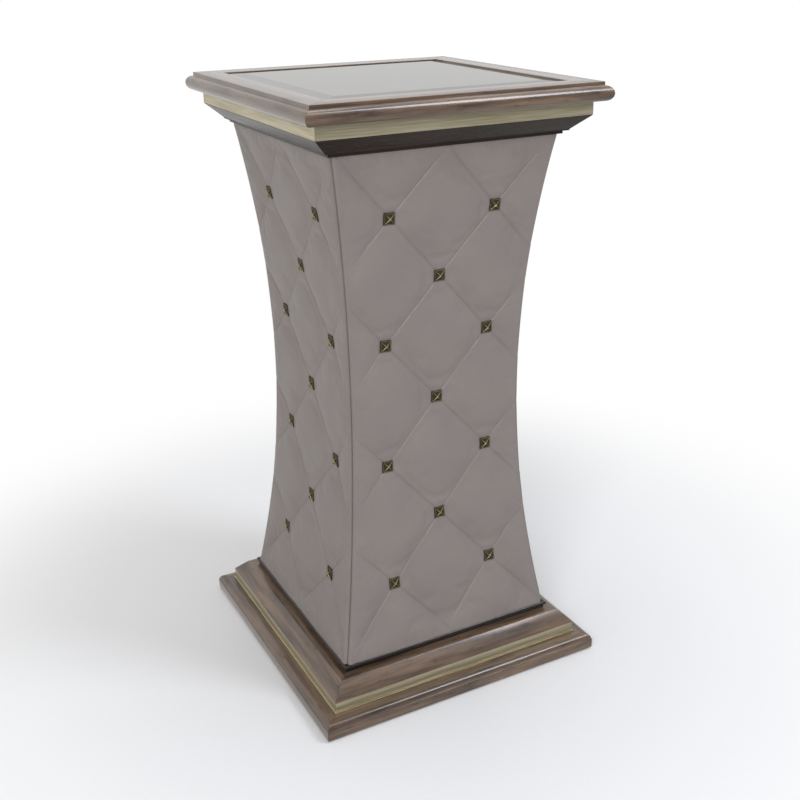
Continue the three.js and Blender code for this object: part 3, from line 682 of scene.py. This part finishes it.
grid_x, grid_z = np.meshgrid(settle_x, settle_z)
start = np.stack([grid_x, -start_face(grid_x, grid_z, SLACK), grid_z], -1)
held = from_seam(grid_x, grid_z) < SEAM_HELD
held = held | (np.abs(grid_x) > face_end(grid_z))
held = held | (dimple(grid_x, grid_z) > STUD_HELD)
held[[0, -1], :] = held[:, [0, -1]] = True
rows, columns = grid_x.shape
index = np.arange(rows * columns).reshape(rows, columns)
quads = np.stack([index[:-1, :-1], index[1:, :-1], index[1:, 1:], index[:-1, 1:]], -1).reshape(-1, 4)
panel = bpy.data.meshes.new("panel")
panel.from_pydata((start.reshape(-1, 3) * MM).tolist(), [], quads.tolist())
panel_object = bpy.data.objects.new("panel", panel)
scene.collection.objects.link(panel_object)
pins = panel_object.vertex_groups.new(name="held")
pins.add([int(i) for i in index[held]], 1.0, "REPLACE")
cloth = panel_object.modifiers.new("leather", "CLOTH")
cloth.settings.quality = 6
cloth.settings.mass = 0.3
cloth.settings.tension_stiffness = cloth.settings.compression_stiffness = 20
cloth.settings.shear_stiffness = 12
cloth.settings.bending_stiffness = 0.8
cloth.settings.vertex_group_mass = "held"
cloth.settings.use_pressure = True
cloth.settings.uniform_pressure_force = 4
cloth.settings.effector_weights.gravity = 0
cloth.settings.shrink_min = -0.012
cloth.point_cache.frame_end = SETTLE_FRAMES
for step in range(1, SETTLE_FRAMES + 1):
    scene.frame_set(step)
settled = panel_object.evaluated_get(bpy.context.evaluated_depsgraph_get()).data
places = np.empty(len(settled.vertices) * 3, np.float32)
settled.vertices.foreach_get("co", places)
moved = places.reshape(rows, columns, 3) / MM - start
bpy.data.objects.remove(panel_object)
scene.frame_set(1)
length = np.linalg.norm(moved, axis=-1, keepdims=True)
largest, mean = (round(float(v), 2) for v in (length.max(), length.mean()))
print("cloth: largest movement", largest, "mm, mean", mean)
moved *= np.minimum(1, CAP / np.maximum(length, 1e-6))

# %% [markdown]
# The seams are pressed in last, finer than the cloth could hold them. Those that fall to the right are plain
# creases. Those that rise to the right are lapped, with the lower panel's edge lying on top, and that small
# step catches the key light as a thin bright line.

# %% Seams
CREASE_DEPTH, CREASE_WIDTH, CREASE_CURVE = 0.75, 4.5, 1.6
LAP_PRESSED, LAP_LIFTED, LAP_WALL = 0.75, 0.85, 1.3
LAP_FADE_BELOW, LAP_FADE_ABOVE = 3.0, 9.0


def seams_pressed_in(x, z):
    """Depth of the falling seams, and of the rising ones with the lower panel's edge lapped over."""
    rising, falling = lattice(x, z)
    beside = np.abs(falling - np.round(falling)) * SEAM_PERIOD
    crease = np.clip(1 - beside / CREASE_WIDTH, 0, 1) ** CREASE_CURVE
    past = (rising - np.round(rising)) * SEAM_PERIOD
    wall = np.clip(past / LAP_WALL, 0, 1)
    lap = np.where(past < 0, LAP_PRESSED * np.exp(np.minimum(past, 0) / LAP_FADE_BELOW),
                   LAP_PRESSED * (1 - wall)
                   - LAP_LIFTED * wall * np.exp(-np.maximum(past - LAP_WALL, 0) / LAP_FADE_ABOVE))
    return crease, CREASE_DEPTH * crease + lap


print("seams:", CREASE_DEPTH, "mm deep and", CREASE_WIDTH, "mm wide; laps lifted", LAP_LIFTED, "mm")

# %% [markdown]
# The settled movements are known on a coarse grid. Smooth weights between its points read them anywhere, so
# no cell of that grid shows in the finished leather.


# %% Read the settled leather
def cubic_weights(t):
    return ((1 - t) ** 3 / 6, (3 * t ** 3 - 6 * t ** 2 + 4) / 6,
            (-3 * t ** 3 + 3 * t ** 2 + 3 * t + 1) / 6, t ** 3 / 6)


def sampled(field, x, z):
    """Reads a field on the settling grid at any place, through smooth cubic weights in both directions."""
    row, column = (COVER_HIGH - z) / (HALF_RISE / CELLS), x / (HALF_PITCH / CELLS) + settle_columns
    j, i = np.floor(row).astype(int), np.floor(column).astype(int)
    total = 0.0
    for step_j, weight_j in enumerate(cubic_weights(row - j)):
        at_j = np.clip(j + step_j - 1, 0, field.shape[0] - 1)
        for step_i, weight_i in enumerate(cubic_weights(column - i)):
            at_i = np.clip(i + step_i - 1, 0, field.shape[1] - 1)
            total = total + field[at_j, at_i] * (weight_j * weight_i)[..., None]
    return total


middle_pad = sampled(moved, np.array([[0.0]]), np.array([[COVER_HIGH - 3 * HALF_RISE]]))
print("the pad above the waist came out by", round(float(-middle_pad[0, 0, 1]), 2), "mm")

# %% [markdown]
# The finished cover is a closed form: the padded face, an edge that rolls round each side to the mitre
# where two covers meet, the flat back against its panel, and the ends. At each height its plan is one loop
# of points. The face keeps a little of the unevenness that padding laid by hand has.

# %% The plan of a cover
FINE_CELLS = 48
ROLL_POINTS = 12
FLANK_POINTS = 3
SHIFT_FADE = 4.0
HAND_DRIFT = 0.22
DRIFT_ACROSS, DRIFT_UP, DRIFT_ASLANT = 19, 27, 41


def hand_drift(x, z, phase):
    patches = np.sin(x / DRIFT_ACROSS + phase) * np.sin(z / DRIFT_UP - 2 * phase)
    return HAND_DRIFT * (patches + np.sin((x + z) / DRIFT_ASLANT + 3 * phase))


def cover_ring_points(z_rows, phase):
    """The plan of a cover at each height as one loop: face, roll, flank, back, flank and roll."""
    step = HALF_PITCH / FINE_CELLS
    columns = int(math.ceil(COLUMN_END / step))
    z = z_rows[:, None] + np.zeros((1, 2 * columns + 1))
    x = np.arange(-columns, columns + 1)[None, :] * step + np.zeros_like(z)
    end = face_end(z)
    stopped = np.abs(x) > end - step / 3
    x = np.where(stopped, np.sign(x) * end, x)
    shift = sampled(moved, x, z)
    inside = np.clip((end - np.abs(x)) / SHIFT_FADE, 0, 1)[..., None]
    shift = shift * inside
    seam, pressed = seams_pressed_in(x, z)
    drift = hand_drift(x, z, phase)
    out = start_face(x, z, SLACK) - pressed * np.sqrt(hold(x, z)) + drift * inside[..., 0]
    face = np.stack([x + shift[..., 0], -out + shift[..., 1], z + shift[..., 2]], -1)
    face[[0, -1], :, 2] = z[[0, -1]]

    half = column_half(z_rows)
    short = half[:, None] - out[:, [0, -1]]
    from_mitre = (EDGE_OPENING - MITRE_BACK) / math.sqrt(2)
    roll_end = math.degrees(math.acos(from_mitre / EDGE_ROLL)) - 45
    angles = np.radians(np.linspace(90, roll_end, ROLL_POINTS + 1)[1:])
    fade = 1 - np.linspace(0, 1, ROLL_POINTS + 1)[1:]
    sides = []
    for side, gap in ((1, short[:, 1]), (-1, short[:, 0])):
        radius = EDGE_ROLL - gap[:, None] * fade
        roll_x = face_end(z_rows)[:, None] + radius * np.cos(angles)
        roll_y = half[:, None] - EDGE_ROLL + radius * np.sin(angles)
        back = half - COVER_THICKNESS
        t = np.linspace(0, 1, FLANK_POINTS + 1)[1:]
        flank_x = roll_x[:, -1:] * (1 - t) + (back - MITRE_BACK)[:, None] * t
        flank_y = roll_y[:, -1:] * (1 - t) + back[:, None] * t
        ring_x = np.concatenate([roll_x, flank_x], 1) * side
        ring_y = -np.concatenate([roll_y, flank_y], 1)
        ring = np.stack([ring_x, ring_y, z_rows[:, None] + 0 * ring_x], -1)
        sides.append(ring if side > 0 else ring[:, ::-1])
    ring = np.concatenate([face, *sides], 1)
    seams = np.concatenate([seam, np.zeros((len(z_rows), 2 * sides[0].shape[1]))], 1)
    return ring, seams, columns


plan = cover_ring_points(np.array([COVER_LOW, WAIST_HEIGHT, COVER_HIGH]), 0.0)[0]
print("one plan has", plan.shape[1], "points")

# %% [markdown]
# The loops are joined into a mesh with one row of cells for each step in height. Cells that a seam crosses
# are split along it, so every seam is one straight line, and points that fall together are made one. The two
# ends are closed with one face each.

# %% Leather covers
FOOT_ROWS = 4
SHARP_LEATHER = math.radians(32)
DRIFT_PER_SIDE = 1.3


def cover_mesh(name, turn):
    fine_rows = np.arange(0, ROWS * FINE_CELLS + 1)
    z_rows = COVER_HIGH - fine_rows * HALF_RISE / FINE_CELLS
    margin = np.linspace(z_rows[-1], COVER_LOW, FOOT_ROWS + 1)[1:]
    ring, seams, columns = cover_ring_points(np.concatenate([z_rows, margin]), DRIFT_PER_SIDE * turn)
    rows, around = ring.shape[:2]
    spin = np.array(Matrix.Rotation(turn * QUARTER, 3, "Z"))
    points = ring.reshape(-1, 3) @ spin.T
    found = np.unique(np.round(points, 4), axis=0, return_index=True, return_inverse=True)
    first, same = found[1], found[2].reshape(-1)
    faces = []
    period = 2 * FINE_CELLS
    for j in range(rows - 1):
        for i in range(around):
            k = (i + 1) % around
            a, b, c, d = (same[j * around + i], same[(j + 1) * around + i],
                          same[(j + 1) * around + k], same[j * around + k])
            column = i - columns
            if i < 2 * columns and (column - j) % period == 0:
                parts = ((a, b, c), (a, c, d))
            elif i < 2 * columns and (column + 1 + j) % period == 0:
                parts = ((a, b, d), (b, c, d))
            else:
                parts = ((a, b, c, d),)
            for part in parts:
                kept = list(dict.fromkeys(part))
                if len(kept) > 2:
                    faces.append(kept)
    for j, order in ((0, 1), (rows - 1, -1)):
        loop = list(dict.fromkeys(same[j * around + i] for i in range(around)))
        faces.append(loop[::order])
    mesh = bpy.data.meshes.new(name)
    mesh.from_pydata((points[first] * MM).tolist(), [], [[int(v) for v in f] for f in faces])
    # The crease depth of the falling seams is stored as "seam"; the leather darkens its colour by it as
    # painted shade.
    marks = mesh.attributes.new("seam", "FLOAT", "POINT")
    marks.data.foreach_set("value", seams.reshape(-1)[first].astype(np.float32))
    mesh.materials.append(leather)
    mesh.shade_smooth()
    mesh.set_sharp_from_angle(angle=SHARP_LEATHER)
    return mesh


for turn, side in enumerate(SIDES):
    cover = bpy.data.objects.new(f"quilted_leather_{side}", cover_mesh(f"quilted_leather_{side}", turn))
    scene.collection.objects.link(cover)
    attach(cover, "root")
    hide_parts(f"leather_cover_{side}")
    print(cover.name, len(cover.data.polygons), "faces")

# %% [markdown]
# Antique brass stud heads, die-struck: a square rim, four ridges that rise to a point, and a sunk triangle
# between each two. Dark patina stays in the hollows and hands have polished the ridges. The polish is an
# attribute of the stud's own points, so every copy wears in the same places.

# %% Antique brass
TARNISH = 3 * MM

brass, tree = new_material("brass_antiqued_rubbed")
polish = add(tree, "ShaderNodeAttribute", attribute_name="polish").outputs["Fac"]
where = add(tree, "ShaderNodeTexCoord").outputs["Object"]
spots = add(tree, "ShaderNodeTexNoise", {"Vector": where, "Scale": 1 / TARNISH, "Detail": 4.0})
rubbed = add(tree, "ShaderNodeMath", {0: spots.outputs["Fac"], 1: 0.5, 2: polish}, operation="MULTIPLY_ADD")
rubbed = add(tree, "ShaderNodeMapRange", {"Value": rubbed.outputs[0], "From Min": 0.5, "From Max": 1.1})
metal = add(tree, "ShaderNodeMix", {0: rubbed.outputs["Result"], 6: linear("#4A4230"), 7: linear("#BFB38C")},
            data_type="RGBA")
dull = add(tree, "ShaderNodeMapRange", {"Value": rubbed.outputs["Result"], "To Min": 0.55, "To Max": 0.3})
shader = add(tree, "ShaderNodeBsdfPrincipled", {
    "Base Color": metal.outputs[2], "Metallic": 0.75, "Roughness": dull.outputs["Result"],
})
add(tree, "ShaderNodeOutputMaterial", {"Surface": shader.outputs[0]})
print("studs' metal:", brass.name)

# %% [markdown]
# A stud head is a few dozen faces: square rings for the skirt, the wall and the rim, then four slopes that
# meet at the point. A triangle is sunk into each slope, and what is left between two of them is a ridge.

# %% One stud head
STUD_HALF, STUD_SKIRT, STUD_WALL, STUD_RIM, STUD_POINT = 8.5, -2.0, 2.2, 2.8, 5.8
RIM_WIDTH, HOLLOW_INSET, HOLLOW, RIM_CHAMFER = 1.1, 2.2, 0.75, 0.6

# Each ring of the head: half its width, its height and how worn it is.
levels = [
    (STUD_HALF, STUD_SKIRT, 0.0),
    (STUD_HALF, STUD_WALL, 0.1),
    (STUD_HALF - RIM_CHAMFER, STUD_RIM, 0.35),
    (STUD_HALF - RIM_WIDTH, STUD_RIM, 0.5),
]
points = [(x * half, y * half, z) for half, z, _ in levels for x, y in square]
worn = [wear for _, _, wear in levels for _ in square]
faces = [[3, 2, 1, 0]]
for ring in range(len(levels) - 1):
    for i in range(4):
        k = (i + 1) % 4
        faces.append([4 * ring + i, 4 * ring + k, 4 * ring + 4 + k, 4 * ring + 4 + i])
tip = len(points)
points.append((0, 0, STUD_POINT))
worn.append(1.0)
inner = 4 * (len(levels) - 1)
for i in range(4):
    corners = [inner + i, inner + (i + 1) % 4, tip]
    flat = [Vector(points[c]) for c in corners]
    middle = sum(flat, Vector()) / 3
    normal = (flat[1] - flat[0]).cross(flat[2] - flat[0]).normalized()
    sunk = len(points)
    for corner in flat:
        inward = (middle - corner).normalized()
        points.append(tuple(corner + inward * HOLLOW_INSET - normal * HOLLOW))
        worn.append(0.0)
    for a in range(3):
        b = (a + 1) % 3
        faces.append([corners[a], corners[b], sunk + b, sunk + a])
    faces.append([sunk, sunk + 1, sunk + 2])
stud_mesh = bpy.data.meshes.new("pyramid_stud")
stud_mesh.from_pydata([tuple(c * MM for c in p) for p in points], [], faces)
stud_mesh.attributes.new("polish", "FLOAT", "POINT").data.foreach_set("value", worn)
print("stud head:", len(faces), "faces")

# %% [markdown]
# Geometry Nodes set the lattice of points, drop every second one, lay each on the hollow arc, lean it with
# the leather, turn it by a hair as a hand does, and repeat the side four times. Placing forty-four studs by
# hand would be slower and would not follow a change of pitch. The sums are listed one to a line: a result,
# what is done, and what it is done to. The lean is stored on the points, because dropping some of them
# renumbers the rest.

# %% Studs on the lattice
HAND_TWIST, STUD_SEED = math.radians(2.0), 4

tree, given = new_tree("studs_on_the_lattice", {
    "Half pitch": "Float", "Row rise": "Float", "Head height": "Float", "Waist height": "Float",
    "Waist half width": "Float", "Face radius": "Float", "Sunk": "Float", "Rows": "Int", "Hand": "Float",
    "Seed": "Int", "Material": "Material",
})
known = {"index": add(tree, "GeometryNodeInputIndex").outputs[0]}
for result, operation, *terms in (
    ("thirds", "DIVIDE", "index", 3.0),
    ("row above", "FLOOR", "thirds"),
    ("row", "ADD", "row above", 1.0),
    ("in the row", "MODULO", "index", 3.0),
    ("column", "SUBTRACT", "in the row", 1.0),
    ("across", "MULTIPLY", "column", "Half pitch"),
    ("down", "MULTIPLY", "row", "Row rise"),
    ("height", "SUBTRACT", "Head height", "down"),
    ("rise", "SUBTRACT", "height", "Waist height"),
    ("radius squared", "POWER", "Face radius", 2.0),
    ("rise squared", "POWER", "rise", 2.0),
    ("leg squared", "SUBTRACT", "radius squared", "rise squared"),
    ("leg", "SQRT", "leg squared"),
    ("flare", "SUBTRACT", "Face radius", "leg"),
    ("half width", "ADD", "Waist half width", "flare"),
    ("out", "SUBTRACT", "half width", "Sunk"),
    ("to the front", "MULTIPLY", "out", -1.0),
    ("sine", "DIVIDE", "rise", "Face radius"),
    ("slope", "ARCSINE", "sine"),
    ("lean", "ADD", "slope", QUARTER),
    ("count", "MULTIPLY", "Rows", 3.0),
    ("steps", "ADD", "column", "row"),
    ("odd", "FLOORED_MODULO", "steps", 2.0),
    ("dropped", "GREATER_THAN", "odd", 0.5),
    ("least twist", "MULTIPLY", "Hand", -1.0),
    ("side", "MULTIPLY", "index", QUARTER),
):
    inputs = {}
    for i, term in enumerate(terms):
        if isinstance(term, str):
            term = known[term] if term in known else given[term]
        inputs[i] = term
    known[result] = add(tree, "ShaderNodeMath", inputs, operation=operation).outputs[0]

place = add(tree, "ShaderNodeCombineXYZ", {
    "X": known["across"], "Y": known["to the front"], "Z": known["height"],
})
lean = add(tree, "ShaderNodeCombineXYZ", {"X": known["lean"]})
twist = add(tree, "FunctionNodeRandomValue", {
    2: known["least twist"], 3: given["Hand"], "Seed": given["Seed"],
}, data_type="FLOAT")
twist = add(tree, "ShaderNodeCombineXYZ", {"Z": twist.outputs[1]})
quarters = add(tree, "ShaderNodeCombineXYZ", {"Z": known["side"]})

spots = add(tree, "GeometryNodePoints", {"Count": known["count"], "Position": place.outputs[0]})
leaning = add(tree, "GeometryNodeStoreNamedAttribute", {
    "Geometry": spots.outputs[0], "Name": "lean", "Value": lean.outputs[0],
}, data_type="FLOAT_VECTOR", domain="POINT")
crossings = add(tree, "GeometryNodeDeleteGeometry", {
    "Geometry": leaning.outputs[0], "Selection": known["dropped"],
})
stored = add(tree, "GeometryNodeInputNamedAttribute", {"Name": "lean"}, data_type="FLOAT_VECTOR")
nailed = add(tree, "GeometryNodeInstanceOnPoints", {
    "Points": crossings.outputs[0], "Instance": given["Geometry"], "Rotation": stored.outputs[0],
})
twisted = add(tree, "GeometryNodeRotateInstances", {
    "Instances": nailed.outputs[0], "Rotation": twist.outputs[0], "Local Space": True,
})
corners = add(tree, "GeometryNodePoints", {"Count": 4})
around = add(tree, "GeometryNodeInstanceOnPoints", {
    "Points": corners.outputs[0], "Instance": twisted.outputs[0], "Rotation": quarters.outputs[0],
})
finish_tree(tree, around.outputs[0], given["Material"])

stud_heads = grow("pyramid_studs", stud_mesh, tree, {
    "Half pitch": HALF_PITCH * MM, "Row rise": HALF_RISE * MM, "Head height": COVER_HIGH * MM,
    "Waist height": WAIST_HEIGHT * MM, "Waist half width": COLUMN_WAIST * MM, "Face radius": FACE_RADIUS * MM,
    "Sunk": (QUILT_DEPTH + STUD_DIMPLE) * MM, "Rows": ROWS - 1, "Hand": HAND_TWIST, "Seed": STUD_SEED,
    "Material": brass,
})
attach(stud_heads, "root")
print("studs:", len(stud_heads.data.polygons) // len(faces), "heads")

# %% [markdown]
# The top is a plate of float glass with a coat of grey paint on its back, ground to a wide bevel on all four
# sides and polished. It mirrors the bright room at this low angle, and the steeper bevel mirrors less and
# shows more of the paint. Glass and paint are one surface here: a matt grey under a clear, smooth reflection
# with the index of glass. Real refraction would cost a lot of light paths and show the same grey. The cut
# edges keep a tiny flat that a grinder takes off so that nobody is hurt, and it shows as a fine line.

# %% Bevelled glass
GLASS_HALF, GLASS_LOW, GLASS_EDGE, GLASS_BEVEL, GLASS_ARRIS = 184.6, 908.0, 3.6, 24.5, 0.35
FLOAT_RIPPLE, RIPPLE_DEPTH, SPRAY_CLOUD = 160 * MM, 0.3 * MM, 45 * MM

glass, tree = new_material("float_glass_bevelled_back_painted")
where = add(tree, "ShaderNodeTexCoord").outputs["Object"]
ripple = add(tree, "ShaderNodeTexNoise", {"Vector": where, "Scale": 1 / FLOAT_RIPPLE, "Detail": 1.0})
sprayed = add(tree, "ShaderNodeTexNoise", {"Vector": where, "Scale": 1 / SPRAY_CLOUD, "Detail": 3.0})
paint = add(tree, "ShaderNodeMix", {0: sprayed.outputs["Fac"], 6: linear("#76736F"), 7: linear("#827F7B")},
            data_type="RGBA")
relief = add(tree, "ShaderNodeBump", {
    "Height": ripple.outputs["Fac"], "Strength": 0.08, "Distance": RIPPLE_DEPTH,
})
shader = add(tree, "ShaderNodeBsdfPrincipled", {
    "Base Color": paint.outputs[2], "Roughness": 0.04, "IOR": 1.52, "Normal": relief.outputs["Normal"],
})
add(tree, "ShaderNodeOutputMaterial", {"Surface": shader.outputs[0]})

levels = [
    (GLASS_HALF - GLASS_ARRIS, GLASS_LOW), (GLASS_HALF, GLASS_LOW + GLASS_ARRIS),
    (GLASS_HALF, GLASS_LOW + GLASS_EDGE - GLASS_ARRIS), (GLASS_HALF - GLASS_ARRIS, GLASS_LOW + GLASS_EDGE),
    (GLASS_HALF - GLASS_BEVEL, TOP_HIGH),
]
plate = bmesh.new()
rings = [[plate.verts.new((x * half * MM, y * half * MM, z * MM)) for x, y in square] for half, z in levels]
for lower, upper in zip(rings, rings[1:]):
    for i in range(4):
        plate.faces.new((lower[i], lower[(i + 1) % 4], upper[(i + 1) % 4], upper[i]))
plate.faces.new(rings[-1])
plate.faces.new(rings[0][::-1])
plate_mesh = bpy.data.meshes.new("bevelled_plate")
plate.to_mesh(plate_mesh)
plate.free()
plate_mesh.materials.append(glass)
plate_object = bpy.data.objects.new("bevelled_plate", plate_mesh)
scene.collection.objects.link(plate_object)
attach(plate_object, "root")
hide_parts("glass_top")
print("glass:", 2 * GLASS_HALF, "mm square")

# %% [markdown]
# The pieces that nobody sees keep their solids and still get what they are made of: plywood with its
# plies, a veneered panel under the painted glass, and moulded nylon for the glides.

# %% Hidden pieces
PLY, PLY_WAVE = 1.4 * MM, 6.28  # the wave factor brings one light and one dark ply to each wave
PLY_GRAIN_LENGTH, PLY_GRAIN_WIDTH = 60 * MM, 3 * MM
MOULD_GRAIN, MOULD_DEPTH = 0.8 * MM, 0.05 * MM

plywood, tree = new_material("birch_plywood_sanded")
where = add(tree, "ShaderNodeTexCoord").outputs["Object"]
plies = add(tree, "ShaderNodeTexWave", {"Vector": where, "Scale": 1 / (PLY_WAVE * PLY), "Distortion": 0.6},
            bands_direction="Z")
wood = grain_noise(tree, where, PLY_GRAIN_LENGTH, PLY_GRAIN_WIDTH)
tone = add(tree, "ShaderNodeMix", {0: wood, 6: linear("#A98A5E"), 7: linear("#CDB083")}, data_type="RGBA")
edge = add(tree, "ShaderNodeMapRange", {"Value": plies.outputs["Fac"], "To Max": 0.3})
tone = add(tree, "ShaderNodeMix", {0: edge.outputs["Result"], 6: tone.outputs[2], 7: linear("#7D6341")},
           data_type="RGBA")
shader = add(tree, "ShaderNodeBsdfPrincipled", {"Base Color": tone.outputs[2], "Roughness": 0.75})
add(tree, "ShaderNodeOutputMaterial", {"Surface": shader.outputs[0]})

nylon, tree = new_material("nylon_moulded")
where = add(tree, "ShaderNodeTexCoord").outputs["Object"]
texture = add(tree, "ShaderNodeTexNoise", {"Vector": where, "Scale": 1 / MOULD_GRAIN, "Detail": 2.0})
tone = add(tree, "ShaderNodeMix", {0: texture.outputs["Fac"], 6: linear("#262524"), 7: linear("#33312F")},
           data_type="RGBA")
relief = add(tree, "ShaderNodeBump", {
    "Height": texture.outputs["Fac"], "Strength": 0.3, "Distance": MOULD_DEPTH,
})
shader = add(tree, "ShaderNodeBsdfPrincipled", {
    "Base Color": tone.outputs[2], "Roughness": 0.55, "Normal": relief.outputs["Normal"],
})
add(tree, "ShaderNodeOutputMaterial", {"Surface": shader.outputs[0]})

veneer = lacquered_wood("grey_sycamore_veneer_satin_lacquer", "#8C8074", "#9C9084", "#AEA296", carried=True)


def finish_node(name, material):
    mesh = nodes[name].data
    mesh.materials.clear()
    mesh.materials.append(material)


for name in nodes:
    if name.startswith("glide"):
        finish_node(name, nylon)
    elif name == "top_panel":
        finish_node(name, veneer)
    elif name.startswith(("corner_post", "bulkhead", "side_panel", "base_board", "cornice_board")):
        finish_node(name, plywood)
print("carried over:", sum(not o.hide_render for o in nodes.values()), "pieces")
